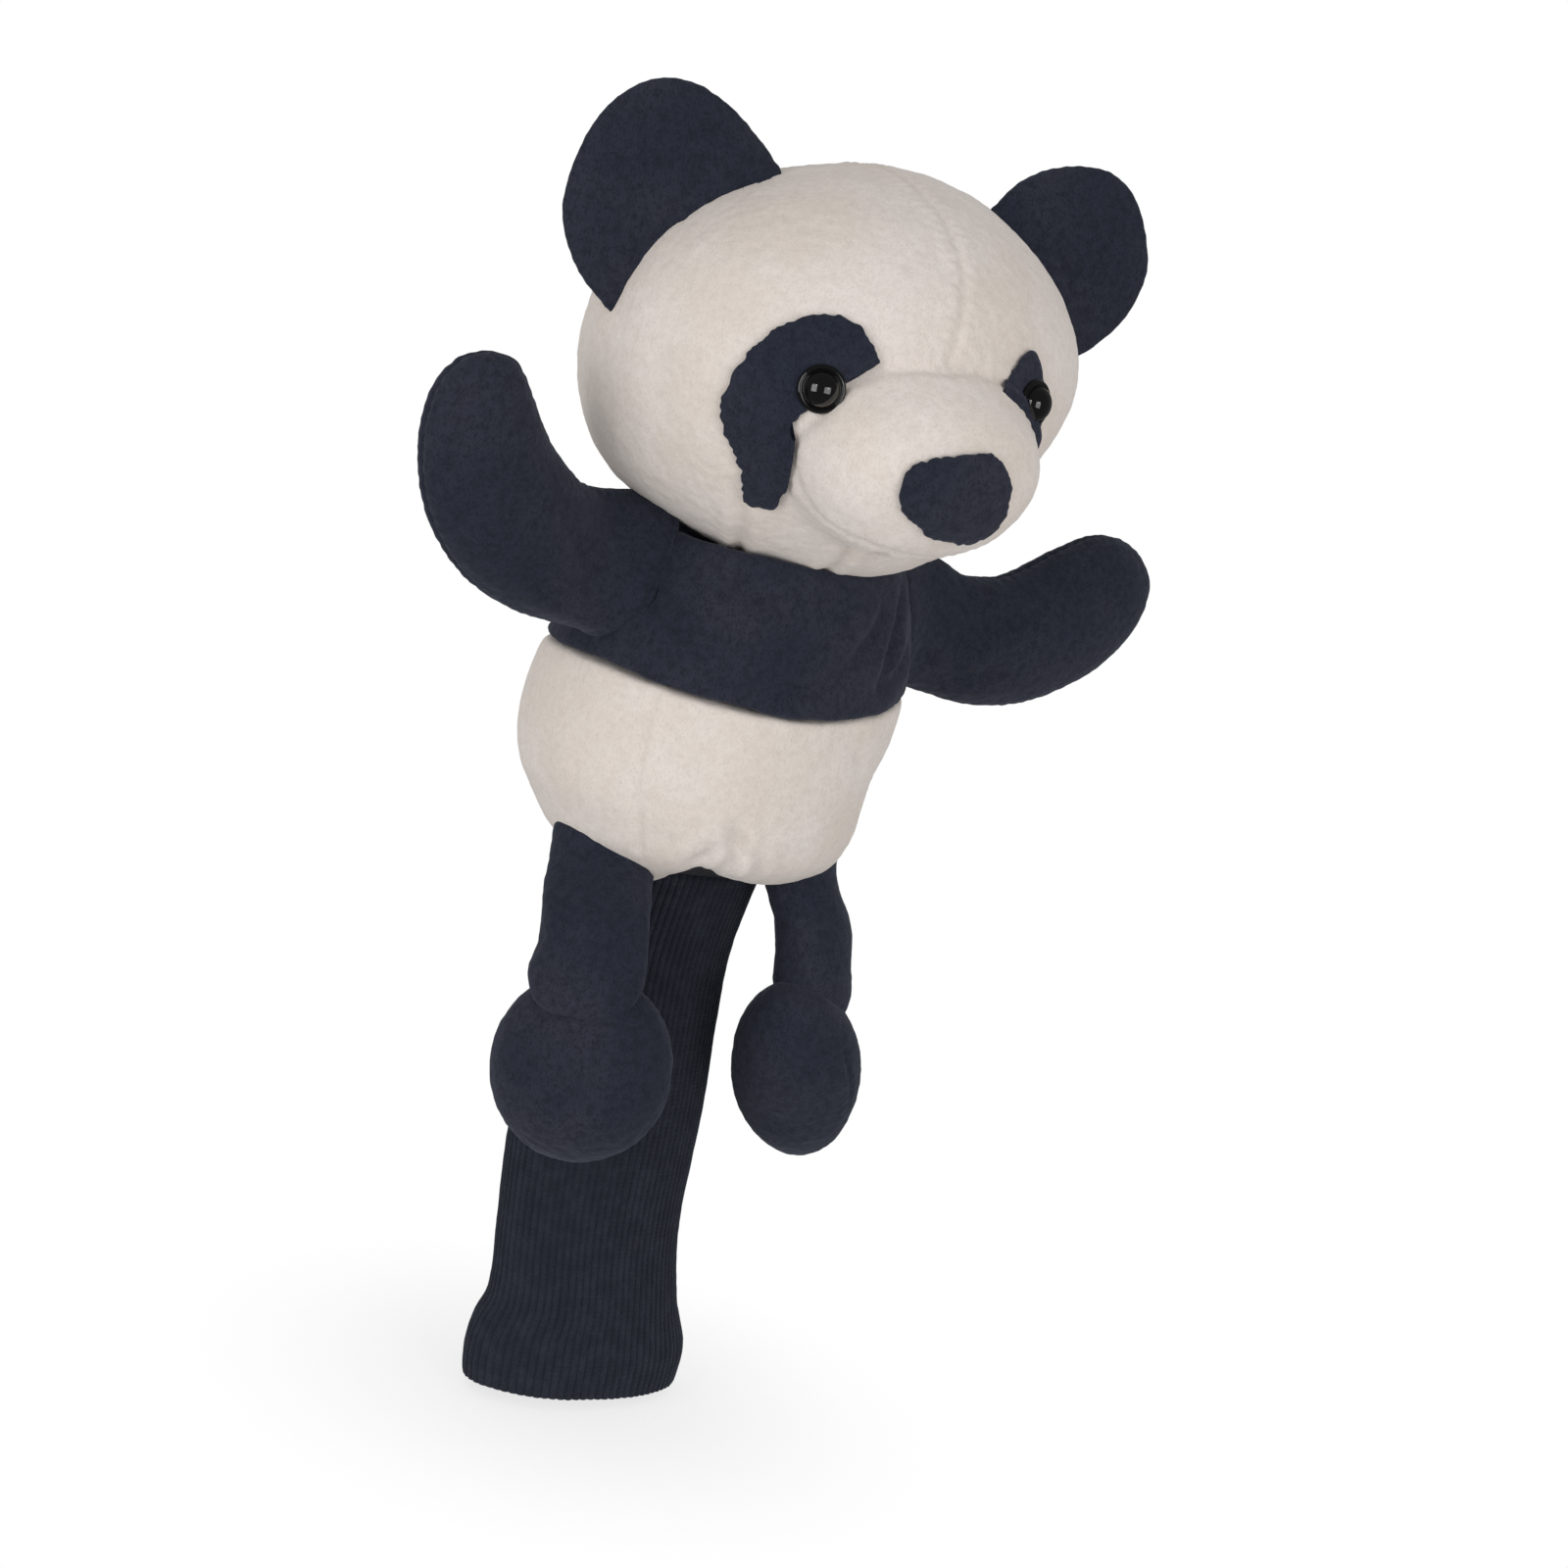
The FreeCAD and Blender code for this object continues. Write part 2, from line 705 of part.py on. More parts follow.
def make_all():
    pieces = [make_sock(), make_pocket()]
    pieces += make_torso()
    pieces += make_head()
    pieces += make_muzzle()
    pieces.append(make_nose())
    for side in (RIGHT, LEFT):
        pieces.append(make_patch(side))
        pieces.append(make_eye(side))
        pieces.append(make_washer(side))
        pieces.append(make_ear(side))
        pieces += make_arm(side)
        pieces += make_leg(side)
        pieces += make_foot(side)
    return pieces


def check(pieces):
    """Stop on any failed object, or on a piece that isn't one valid solid."""
    for thing in doc.Objects:
        if "Invalid" in thing.State or "Error" in thing.State:
            raise RuntimeError(f"{thing.Label} failed: {thing.State}")
    for piece in pieces:
        shape = piece.Shape
        if shape.isNull() or not shape.isValid():
            raise RuntimeError(f"{piece.Label} has no valid shape")
        print(f"{piece.Label}: {len(shape.Solids)} solid, {shape.Volume / 1000:.1f} cm3")


def export(pieces):
    os.makedirs("parts", exist_ok=True)
    for piece in pieces:
        piece.Shape.exportStep(f"parts/{piece.Label}.step")


pieces = make_all()
doc.recompute()
check(pieces)
export(pieces)
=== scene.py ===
import itertools
import json
import math

import bmesh
import bpy
import numpy as np
from mathutils import Matrix, Vector
from mathutils.kdtree import KDTree


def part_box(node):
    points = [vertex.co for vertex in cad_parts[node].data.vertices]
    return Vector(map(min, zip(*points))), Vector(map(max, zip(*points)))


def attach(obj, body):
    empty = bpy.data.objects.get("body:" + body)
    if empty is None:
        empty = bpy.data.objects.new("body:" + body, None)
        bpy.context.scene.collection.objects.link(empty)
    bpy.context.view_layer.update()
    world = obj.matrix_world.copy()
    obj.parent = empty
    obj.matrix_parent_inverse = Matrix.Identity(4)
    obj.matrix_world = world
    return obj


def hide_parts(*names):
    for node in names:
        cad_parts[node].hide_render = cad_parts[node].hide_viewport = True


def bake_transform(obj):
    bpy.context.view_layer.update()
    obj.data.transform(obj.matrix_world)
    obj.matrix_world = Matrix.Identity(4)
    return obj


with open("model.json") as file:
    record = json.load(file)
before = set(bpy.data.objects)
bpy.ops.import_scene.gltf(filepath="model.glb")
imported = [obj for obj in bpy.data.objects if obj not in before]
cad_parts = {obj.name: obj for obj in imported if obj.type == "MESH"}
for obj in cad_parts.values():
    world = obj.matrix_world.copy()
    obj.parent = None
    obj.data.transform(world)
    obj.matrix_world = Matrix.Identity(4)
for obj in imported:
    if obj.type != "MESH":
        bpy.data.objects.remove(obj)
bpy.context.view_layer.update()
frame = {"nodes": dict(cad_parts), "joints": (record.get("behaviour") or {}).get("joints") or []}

# The looks of the plush driver cover. Shapes are worked out in millimetres, in the frame's axes,
# and go into Blender in metres.
MM = 0.001
RIGHT = -1
LEFT = 1
SIDE_NAMES = {RIGHT: "right", LEFT: "left"}


# ---- numbers and noise


HASH_SHARES = np.array([374761393, 668265263, 1440662683])  # large odd numbers that scatter the cells


def lattice(cells, seed):
    """Repeatable numbers from -1 to 1 for whole-number cells."""
    mixed = cells @ HASH_SHARES + seed * 974634777
    mixed = (mixed ^ (mixed >> 13)) * 1274126177
    mixed = mixed ^ (mixed >> 16)
    return (mixed & 0xFFFF) / 32767.5 - 1


def noise(points, wave, seed=0):
    """Smooth noise from -1 to 1, its lumps about a wave apart."""
    scaled = points / wave
    cell = np.floor(scaled).astype(np.int64)
    part = scaled - cell
    part = part * part * (3 - 2 * part)
    total = np.zeros(len(points))
    for corner in itertools.product((0, 1), repeat=3):
        share = np.prod(np.where(np.array(corner), part, 1 - part), axis=1)
        total += share * lattice(cell + np.array(corner), seed)
    return total


def smooth_step(value, low, high):
    """Rises smoothly from 0 at low to 1 at high."""
    t = np.clip((value - low) / (high - low), 0, 1)
    return t * t * (3 - 2 * t)


def table(rows, at):
    """Smooth values through rows of (place, value, value...)."""
    rows = np.array(rows, float)
    place = rows[:, 0]
    value = rows[:, 1:]
    slope = np.gradient(value, place, axis=0)
    at = np.clip(np.atleast_1d(np.asarray(at, float)), place[0], place[-1])
    i = np.clip(np.searchsorted(place, at, side="right") - 1, 0, len(place) - 2)
    span = (place[i + 1] - place[i])[:, None]
    t = ((at - place[i])[:, None]) / span
    return (
        value[i] * (1 + 2 * t) * (1 - t) ** 2
        + value[i + 1] * t * t * (3 - 2 * t)
        + slope[i] * span * t * (1 - t) ** 2
        - slope[i + 1] * span * t * t * (1 - t)
    )


def unit(vector):
    vector = np.asarray(vector, float)
    return vector / np.linalg.norm(vector, axis=-1, keepdims=True)


def turns(count):
    """Angles evenly round a circle."""
    return np.linspace(0, 2 * math.pi, count, endpoint=False)


# ---- meshes


def make_piece(name, points, faces):
    mesh = bpy.data.meshes.new(name)
    mesh.from_pydata((np.asarray(points) * MM).tolist(), [], faces)
    work = bmesh.new()
    work.from_mesh(mesh)
    bmesh.ops.recalc_face_normals(work, faces=work.faces)
    work.to_mesh(mesh)
    work.free()
    mesh.shade_smooth()
    piece = bpy.data.objects.new(name, mesh)
    bpy.context.scene.collection.objects.link(piece)
    return piece


def read_vertices(mesh, kind):
    flat = np.empty(len(mesh.vertices) * 3, np.float32)
    mesh.vertices.foreach_get(kind, flat)
    return flat.reshape(-1, 3).astype(float)


def read_points(mesh):
    return read_vertices(mesh, "co") / MM


def write_points(piece, points):
    piece.data.vertices.foreach_set("co", (points * MM).astype(np.float32).ravel())
    piece.data.update()


def push(piece, points, move):
    """Moves a piece's points along its normals."""
    write_points(piece, points + read_vertices(piece.data, "normal") * move[:, None])


def bake(piece):
    """The piece's mesh becomes what its modifiers show."""
    graph = bpy.context.evaluated_depsgraph_get()
    mesh = bpy.data.meshes.new_from_object(piece.evaluated_get(graph))
    piece.modifiers.clear()
    piece.data = mesh
    mesh.shade_smooth()


def refine(piece, levels):
    change = piece.modifiers.new("Subdivision", "SUBSURF")
    change.levels = levels
    change.render_levels = levels
    bake(piece)


def ring_faces(rings, around, joined=False):
    """Quads between rings of points; joined closes the last ring onto the first."""
    faces = []
    for i in range(rings if joined else rings - 1):
        low = i * around
        high = (i + 1) % rings * around
        for j in range(around):
            k = (j + 1) % around
            faces.append((low + j, low + k, high + k, high + j))
    return faces


def loft(name, rings, joined=False):
    """A closed piece through rings of points, an array of rings x around x 3; its two ends close at
    their middles unless the last ring joins the first."""
    rings = np.asarray(rings, float)
    count, around = rings.shape[:2]
    points = rings.reshape(-1, 3)
    faces = ring_faces(count, around, joined)
    if not joined:
        first = len(points)
        points = np.vstack([points, rings[0].mean(axis=0), rings[-1].mean(axis=0)])
        for j in range(around):
            k = (j + 1) % around
            faces.append((first, k, j))
            faces.append((first + 1, (count - 1) * around + j, (count - 1) * around + k))
    return make_piece(name, points, faces)


def sphere_grid(count):
    """Directions over a ball in six square grids, and their quads."""
    work = bmesh.new()
    bmesh.ops.create_cube(work, size=2)
    bmesh.ops.subdivide_edges(work, edges=work.edges[:], cuts=count - 1, use_grid_fill=True)
    points = np.array([v.co[:] for v in work.verts])
    faces = [tuple(v.index for v in f.verts) for f in work.faces]
    work.free()
    return unit(np.tan(points * math.pi / 4)), faces


# ---- cloth and stitching


def line_through(points, step=0.6):
    """Points a step apart along straight runs."""
    points = np.asarray(points, float)
    along = np.concatenate([[0], np.cumsum(np.linalg.norm(np.diff(points, axis=0), axis=1))])
    at = np.linspace(0, along[-1], max(2, int(along[-1] / step) + 1))
    return np.stack([np.interp(at, along, points[:, k]) for k in range(3)], axis=1), at


def curve_through(points, step=0.6):
    """Points along a smooth curve through a few points."""
    rows = np.column_stack([np.arange(len(points)), np.asarray(points, float)])
    return line_through(table(rows, np.linspace(0, len(points) - 1, 12 * len(points))), step)[0]


def near_lines(points, lines):
    """Each point's distance to the nearest line, and how far along that line it is."""
    placed = [(p, s) for line in lines for p, s in zip(*line_through(line))]
    tree = KDTree(len(placed))
    for i, (p, s) in enumerate(placed):
        tree.insert(p, i)
    tree.balance()
    found = [tree.find(p)[1:] for p in points]
    distance = np.array([f[1] for f in found])
    along = np.array([placed[f[0]][1] for f in found])
    return distance, along


CLOTH = {
    "quality": 5,
    "mass": 0.25,
    "tension_stiffness": 18,
    "compression_stiffness": 18,
    "bending_stiffness": 0.8,
    "use_pressure": True,
    "vertex_group_mass": "held",
}
CLOTH_FRAMES = 20


def inflate(piece, seams, cap, pressure=4.0):
    """Fills the piece like stuffed cloth; the seams hold it in, and no point moves further than cap."""
    rest = read_points(piece.data)
    held = np.zeros(len(rest))
    if len(seams):
        held = 1 - smooth_step(near_lines(rest, seams)[0], 1.5, 9.0)
    group = piece.vertex_groups.new(name="held")
    for i, share in enumerate(held):
        group.add([i], float(share), "REPLACE")
    change = piece.modifiers.new("Cloth", "CLOTH")
    for name, value in CLOTH.items():
        setattr(change.settings, name, value)
    change.settings.uniform_pressure_force = pressure
    change.settings.effector_weights.gravity = 0
    change.collision_settings.use_collision = False
    change.point_cache.frame_start = 1
    change.point_cache.frame_end = CLOTH_FRAMES
    for number in range(1, CLOTH_FRAMES + 1):
        bpy.context.scene.frame_set(number)
    graph = bpy.context.evaluated_depsgraph_get()
    moved = read_points(piece.evaluated_get(graph).data) - rest
    piece.modifiers.clear()
    piece.vertex_groups.clear()
    bpy.context.scene.frame_set(1)
    length = np.linalg.norm(moved, axis=1, keepdims=True)
    moved *= cap * np.tanh(length / cap) / np.maximum(length, 1e-9)
    write_points(piece, rest + moved)


STITCH = 5.0


def sewn(points, seams, depth, width):
    """How far a seam pulls the cloth in: a narrow valley with small puckers beside it."""
    distance, along = near_lines(points, seams)
    valley = np.exp(-((distance / width) ** 2))
    beside = np.exp(-(((distance - 2.6 * width) / (1.5 * width)) ** 2))
    pucker = np.cos(2 * math.pi * along / STITCH + 2 * noise(points, 14, 5))
    return -depth * valley * (1 + 0.25 * pucker) + 0.12 * depth * beside * (1 + pucker)


def creased(points, creases):
    """How far soft folds push the cloth in: creases are (line, depth, width), each fading at its ends."""
    total = np.zeros(len(points))
    for line, depth, width in creases:
        line = curve_through(line)
        length = np.linalg.norm(np.diff(line, axis=0), axis=1).sum()
        distance, along = near_lines(points, [line])
        fade = np.sqrt(np.clip(np.sin(math.pi * np.clip(along / length, 0.02, 0.98)), 0, 1))
        valley = np.exp(-((distance / width) ** 2))
        ridge = np.exp(-(((distance - 2.2 * width) / (1.2 * width)) ** 2))
        total += depth * fade * (0.35 * ridge - valley)
    return total


def pile(points, seed, height):
    """The uneven surface of short plush: soft lumps, then clumps of pile."""
    lumps = 0.55 * noise(points, 34, seed) + 0.3 * noise(points, 13, seed + 1)
    clumps = height * (noise(points, 2.6, seed + 2) + 0.6 * noise(points, 5.5, seed + 3))
    return lumps + clumps


def dress(piece, seed, seams=(), creases=(), height=0.22, depth=1.3, width=1.6):
    """Adds the seams, folds and pile to a finely divided piece."""
    points = read_points(piece.data)
    move = pile(points, seed, height)
    if len(seams):
        move += sewn(points, seams, depth, width)
    if len(creases):
        move += creased(points, creases)
    push(piece, points, move)


# ---- materials


class Paint:
    """A new node material; its steps return sockets that the next step takes."""

    def __init__(self, name):
        self.material = bpy.data.materials.new(name)
        self.material.use_nodes = True
        self.nodes = self.material.node_tree.nodes
        self.links = self.material.node_tree.links
        self.shader = self.nodes["Principled BSDF"]
        self.place = self.nodes.new("ShaderNodeTexCoord").outputs["Object"]

    def set(self, **values):
        for name, value in values.items():
            self.shader.inputs[name.replace("_", " ")].default_value = value

    def feed(self, name, socket):
        self.links.new(socket, self.shader.inputs[name])

    def add(self, kind, **values):
        """A new node whose inputs take plain values or other nodes' sockets."""
        node = self.nodes.new(f"ShaderNode{kind}")
        for name, value in values.items():
            socket = node.inputs[name.replace("_", " ")]
            if isinstance(value, bpy.types.NodeSocket):
                self.links.new(value, socket)
            else:
                socket.default_value = value
        return node

    def stretch(self, x, y, z):
        node = self.nodes.new("ShaderNodeVectorMath")
        node.operation = "MULTIPLY"
        self.links.new(self.place, node.inputs[0])
        node.inputs[1].default_value = (x, y, z)
        return node.outputs[0]

    def noise(self, wave, detail=2.0, rough=0.5, place=None):
        """Noise with lumps a wave of millimetres apart."""
        place = place or self.place
        scale = 1 / (wave * MM)
        node = self.add("TexNoise", Vector=place, Scale=scale, Detail=detail, Roughness=rough)
        return node.outputs["Fac"]

    def ramp(self, socket, low, high, start=0.0, end=1.0):
        node = self.add("MapRange", Value=socket, From_Min=low, From_Max=high, To_Min=start, To_Max=end)
        node.interpolation_type = "SMOOTHSTEP"
        return node.outputs["Result"]

    def multiply(self, first, second):
        node = self.nodes.new("ShaderNodeMath")
        node.operation = "MULTIPLY"
        self.links.new(first, node.inputs[0])
        self.links.new(second, node.inputs[1])
        return node.outputs[0]

    def mix(self, share, first, second):
        node = self.nodes.new("ShaderNodeMix")
        node.data_type = "RGBA"
        self.links.new(share, node.inputs["Factor"])
        for socket, value in ((node.inputs["A"], first), (node.inputs["B"], second)):
            if isinstance(value, tuple):
                socket.default_value = (*value, 1)
            else:
                self.links.new(value, socket)
        return node.outputs["Result"]

    def bump(self, height, distance, strength=1.0, under=None):
        node = self.add("Bump", Strength=strength, Distance=distance * MM, Height=height)
        if under is not None:
            self.links.new(under, node.inputs["Normal"])
        return node.outputs["Normal"]


def plush(name, base, shade, worn, sheen, sheen_tint, depth):
    """Short pile: patches where the nap lies another way, clumps, and painted shade in the hollows between
    clumps and between fibres.
    """
    paint = Paint(name)
    patch = paint.ramp(paint.noise(46, 3), 0.36, 0.66)
    clump = paint.noise(3.2, 3, 0.6)
    fibre = paint.noise(0.75, 2, 0.7, paint.stretch(1, 1, 0.55))
    colour = paint.mix(patch, base, worn)
    # Painted shade: the colour darkens towards the shade colour where the clump and fibre bumps are low.
    colour = paint.mix(paint.ramp(clump, 0.30, 0.62, 0.20 * depth, 0.0), colour, shade)
    colour = paint.mix(paint.ramp(fibre, 0.30, 0.55, 0.30 * depth, 0.0), colour, shade)
    paint.feed("Base Color", colour)
    paint.feed("Roughness", paint.ramp(fibre, 0.2, 0.8, 0.86, 1.0))
    relief = paint.bump(clump, 0.7, 0.3 * depth)
    paint.feed("Normal", paint.bump(fibre, 0.3, 0.4 * depth, relief))
    paint.set(Sheen_Weight=sheen, Sheen_Roughness=0.45, Sheen_Tint=(*sheen_tint, 1), Specular_IOR_Level=0.15)
    return paint.material


def knit(name):
    """Ribbed knit: the ribs are in the mesh, so this adds the small loops, painted shade in the hollows
    between them, and lint.
    """
    paint = Paint(name)
    lint = paint.noise(7, 4, 0.65)
    yarn = paint.noise(0.8, 3, 0.7)
    wave = paint.add("TexWave", Vector=paint.place, Scale=1 / (6 * MM), Distortion=1.6, Detail=2.0)
    wave.wave_type = "BANDS"
    wave.bands_direction = "Z"
    colour = paint.mix(paint.ramp(lint, 0.35, 0.7), (0.013, 0.0155, 0.025), (0.021, 0.024, 0.036))
    # Painted shade: up to half way to near-black where the yarn bump is low, between the loops.
    colour = paint.mix(paint.ramp(yarn, 0.3, 0.6, 0.5, 0.0), colour, (0.006, 0.007, 0.011))
    paint.feed("Base Color", colour)
    paint.feed("Roughness", paint.ramp(yarn, 0.2, 0.8, 0.78, 0.95))
    relief = paint.bump(wave.outputs["Fac"], 0.25, 0.5)
    paint.feed("Normal", paint.bump(yarn, 0.3, 0.6, relief))
    paint.set(Sheen_Weight=0.15, Sheen_Roughness=0.5, Sheen_Tint=(0.5, 0.55, 0.7, 1), Specular_IOR_Level=0.2)
    return paint.material


def lining(name):
    """Thin woven lining cloth."""
    paint = Paint(name)
    weft = paint.noise(0.5, 1, 0.5, paint.stretch(1, 1, 4))
    warp = paint.noise(0.5, 1, 0.5, paint.stretch(4, 4, 1))
    weave = paint.multiply(weft, warp)
    colour = paint.mix(paint.ramp(weave, 0.15, 0.4), (0.02, 0.02, 0.024), (0.045, 0.046, 0.052))
    paint.feed("Base Color", colour)
    paint.feed("Roughness", paint.ramp(weave, 0.1, 0.4, 0.5, 0.7))
    paint.feed("Normal", paint.bump(weave, 0.15, 0.6))
    return paint.material


def moulded(name, colour, low, high, coat):
    """Moulded plastic with faint smears and fine scratches in its gloss."""
    paint = Paint(name)
    smear = paint.noise(4, 4, 0.6)
    scratch = paint.noise(0.6, 2, 0.6, paint.stretch(1, 5, 1))
    paint.feed("Base Color", paint.mix(smear, colour, tuple(0.8 * c for c in colour)))
    paint.feed("Roughness", paint.ramp(smear, 0.3, 0.8, low, high))
    paint.feed("Normal", paint.bump(scratch, 0.01, 0.15))
    paint.set(Coat_Weight=coat, Coat_Roughness=0.03, Specular_IOR_Level=0.4)
    return paint.material


# Name, colour, painted shade colour for the hollows between clumps and fibres, colour where it is worn, sheen
# and its colour, depth of the pile.
CREAM = plush(
    "cream_plush",
    (0.685, 0.628, 0.590), (0.46, 0.39, 0.345), (0.64, 0.575, 0.52),
    0.22, (1, 0.97, 0.95), 1.0,
)
BLACK = plush(
    "black_plush",
    (0.019, 0.023, 0.037), (0.006, 0.007, 0.012), (0.027, 0.029, 0.044),
    0.17, (0.5, 0.53, 0.68), 2.0,
)
KNIT = knit("black_knit")
LINING = lining("lining_cloth")
EYE = moulded("eye_plastic", (0.003, 0.003, 0.003), 0.04, 0.09, 0.5)
WASHER = moulded("washer_plastic", (0.78, 0.77, 0.73), 0.4, 0.55, 0.0)


def paint_piece(piece, material):
    piece.data.materials.clear()
    piece.data.materials.append(material)


# ---- head frame


def joint(name):
    return next(j for j in frame["joints"] if j["name"] == name)


def pivot(name):
    """A joint's place, in millimetres."""
    return np.array(joint(name)["pos_m"]) / MM


def middle(node):
    low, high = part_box(node)
    return np.array((low + high) / 2) / MM


def head_axes():
    """The head's own axes as columns: across to its left, back, and up."""
    up = unit(joint("head_turn")["axis"])
    across = middle("eye_left") - middle("eye_right")
    across = unit(across - up * (across @ up))
    return np.column_stack([across, np.cross(up, across), up])


HEAD_CENTRE = pivot("head_turn")
HEAD_AXES = head_axes()


def on_head(local):
    """Points in the head's own frame, carried to the frame of the whole."""
    return HEAD_CENTRE + np.asarray(local, float) @ HEAD_AXES.T


def in_head(points):
    return (np.asarray(points, float) - HEAD_CENTRE) @ HEAD_AXES


# ---- head

HEAD_HALF = np.array([97.0, 88.0, 76.0])
MUZZLE_MIDDLE = np.array([0.0, -72.0, -25.0])
MUZZLE_HALF = np.array([48.0, 42.0, 36.0])
MUZZLE_BLEND = 9.0
HEAD_PANEL = 28  # quads along one of the six grids before refining
# Where the stuffing fills the head out or leaves it slack: direction, millimetres, spread.
FULLNESS = [
    ((0.45, 0.08, 0.88), 4.0, 0.42), ((0.72, 0.26, 0.64), 3.0, 0.35), ((-0.87, 0.0, 0.48), 2.0, 0.28),
    ((-0.92, 0.0, -0.38), 3.0, 0.28), ((-0.66, 0.05, -0.75), -2.0, 0.28), ((0.15, -0.50, -0.85), 3.6, 0.34),
    ((0.93, -0.05, -0.36), -6.5, 0.38), ((0.80, -0.45, -0.39), -5.0, 0.30),
]


def head_reach(directions, inset=0.0):
    """How far the head's surface lies from its middle in each direction, the muzzle melted into it."""
    skull = 1 / np.linalg.norm(directions / (HEAD_HALF - inset), axis=1)
    half = MUZZLE_HALF - inset
    ray = directions / half
    start = -MUZZLE_MIDDLE / half
    a = (ray * ray).sum(axis=1)
    b = ray @ start
    inside = b * b - a * (start @ start - 1)
    muzzle = np.where(inside > 0, (-b + np.sqrt(np.maximum(inside, 0))) / a, 0)
    for place, amount, spread in FULLNESS:
        apart = np.linalg.norm(directions - unit(place), axis=1)
        skull = skull + amount * np.exp(-((apart / spread) ** 2))
    near = np.maximum(MUZZLE_BLEND - np.abs(skull - muzzle), 0) / MUZZLE_BLEND
    return np.maximum(skull, muzzle) + MUZZLE_BLEND * near**2 / 4


def head_surface(local):
    """Local points moved along their ray from the head's middle to its surface."""
    directions = unit(local)
    return directions * head_reach(directions)[:, None]


def on_face(local, most=None):
    """Local points moved straight forward or back onto the front of the head, where the muzzle may
    lift them off the skull by no more than so much."""
    local = np.array(local, float)
    near = np.full(len(local), -10.0)
    far = np.full(len(local), -140.0)
    for _ in range(24):
        local[:, 1] = (near + far) / 2
        outside = np.linalg.norm(local, axis=1) > head_reach(unit(local))
        far = np.where(outside, local[:, 1], far)
        near = np.where(outside, near, local[:, 1])
    if most is not None:
        flat = (local[:, 0] / HEAD_HALF[0]) ** 2 + (local[:, 2] / HEAD_HALF[2]) ** 2
        skull = -HEAD_HALF[1] * np.sqrt(np.maximum(1 - flat, 0))
        local[:, 1] = np.maximum(local[:, 1], skull - most)
    return local


def face_line(points):
    """A line on the face from rough local places, laid on the surface and carried to the whole's frame."""
    return on_head(head_surface(curve_through(points, 1.5)))


# Seams of the head, in its own frame: across to its left, back and up.
MIDDLE_SEAM = [
    (0, 84, 20), (3, 50, 68), (8, 0, 78), (13, -52, 60), (13, -68, 46), (11, -79, 33), (6, -86, 18),
    (2, -90, 9),
]
BROW_SEAM = [(-24, -86, 7), (-12, -88, 9), (2, -90, 9), (14, -88, 9), (26, -86, 6)]
MASK_EDGE = [(-24, -86, 7), (-34, -83, 1), (-43, -79, -10), (-49, -74, -20), (-48, -73, -30), (-45, -73, -38)]
MASK_LOW = [(-45, -73, -38), (-38, -76, -47), (-30, -80, -51), (-20, -86, -55), (-8, -88, -58), (0, -88, -59)]
CHEEK_SEAM = [(-60, -52, -40), (-55, -47, -48), (-48, -36, -58), (-38, -16, -68), (-30, 0, -74)]
CHIN_SEAM = [(-14, -90, -56), (-12, -70, -62), (-10, -40, -70), (-10, -10, -76)]


def mirrored(points):
    return [(-x, y, z) for x, y, z in points]


def make_head():
    directions, faces = sphere_grid(HEAD_PANEL)
    points = on_head(directions * head_reach(directions, 1.5)[:, None])
    head = make_piece("head", points, faces)
    firm = [MIDDLE_SEAM, BROW_SEAM, MASK_EDGE, mirrored(MASK_EDGE), MASK_LOW, mirrored(MASK_LOW)]
    seams = [face_line(s) for s in firm]
    inflate(head, seams, cap=2.0)
    refine(head, 2)
    shallow = [face_line(s) for s in (CHEEK_SEAM, mirrored(CHEEK_SEAM), CHIN_SEAM)]
    folds = [(line, 2.2, 2.4) for line in shallow]
    dress(head, 11, seams, folds, height=0.2, depth=2.0, width=1.8)
    paint_piece(head, CREAM)
    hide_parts("head_skin", "head_stuffing", "muzzle_skin", "muzzle_stuffing")
    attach(head, "head")


# ---- patches on the face


def patch_points(outline, step):
    """A flat grid of quads cut to an outline: its points, its quads, and how near the edge they are."""
    outline = np.asarray(outline, float)
    count = len(outline)
    centre = outline.mean(axis=0)
    rings = max(6, int(np.linalg.norm(outline - centre, axis=1).max() / step))
    shares = np.linspace(0, 1, rings + 1)[1:]
    points = [centre] + [centre + (p - centre) * s for s in shares for p in outline]
    faces = [(0, 1 + j, 1 + (j + 1) % count) for j in range(count)]
    for i in range(rings - 1):
        for j in range(count):
            k = (j + 1) % count
            low = 1 + i * count
            faces.append((low + j, low + count + j, low + count + k, low + k))
    edge = np.concatenate([[0.0], np.repeat(shares, count)])
    return np.array(points), faces, edge, 1 + (rings - 1) * count


def ragged(outline, step, seed, amount):
    """A closed outline through a few points, with the uneven edge that cut plush has."""
    outline = [*outline, outline[0]]
    flat = np.column_stack([np.asarray(outline, float), np.zeros(len(outline))])
    rows = np.column_stack([np.arange(len(flat)), flat])
    line, along = line_through(table(rows, np.linspace(0, len(flat) - 1, 14 * len(flat))), step)
    line = line[:-1]
    ahead = np.roll(line, -1, axis=0) - np.roll(line, 1, axis=0)
    outwards = unit(np.column_stack([ahead[:, 1], -ahead[:, 0], np.zeros(len(line))]))
    outwards *= np.sign(((line - line.mean(axis=0)) * outwards).sum())
    tufts = noise(line, 1.6, seed) + 0.8 * noise(line, 4.0, seed + 1)
    return (line + outwards * (amount * tufts)[:, None])[:, :2]


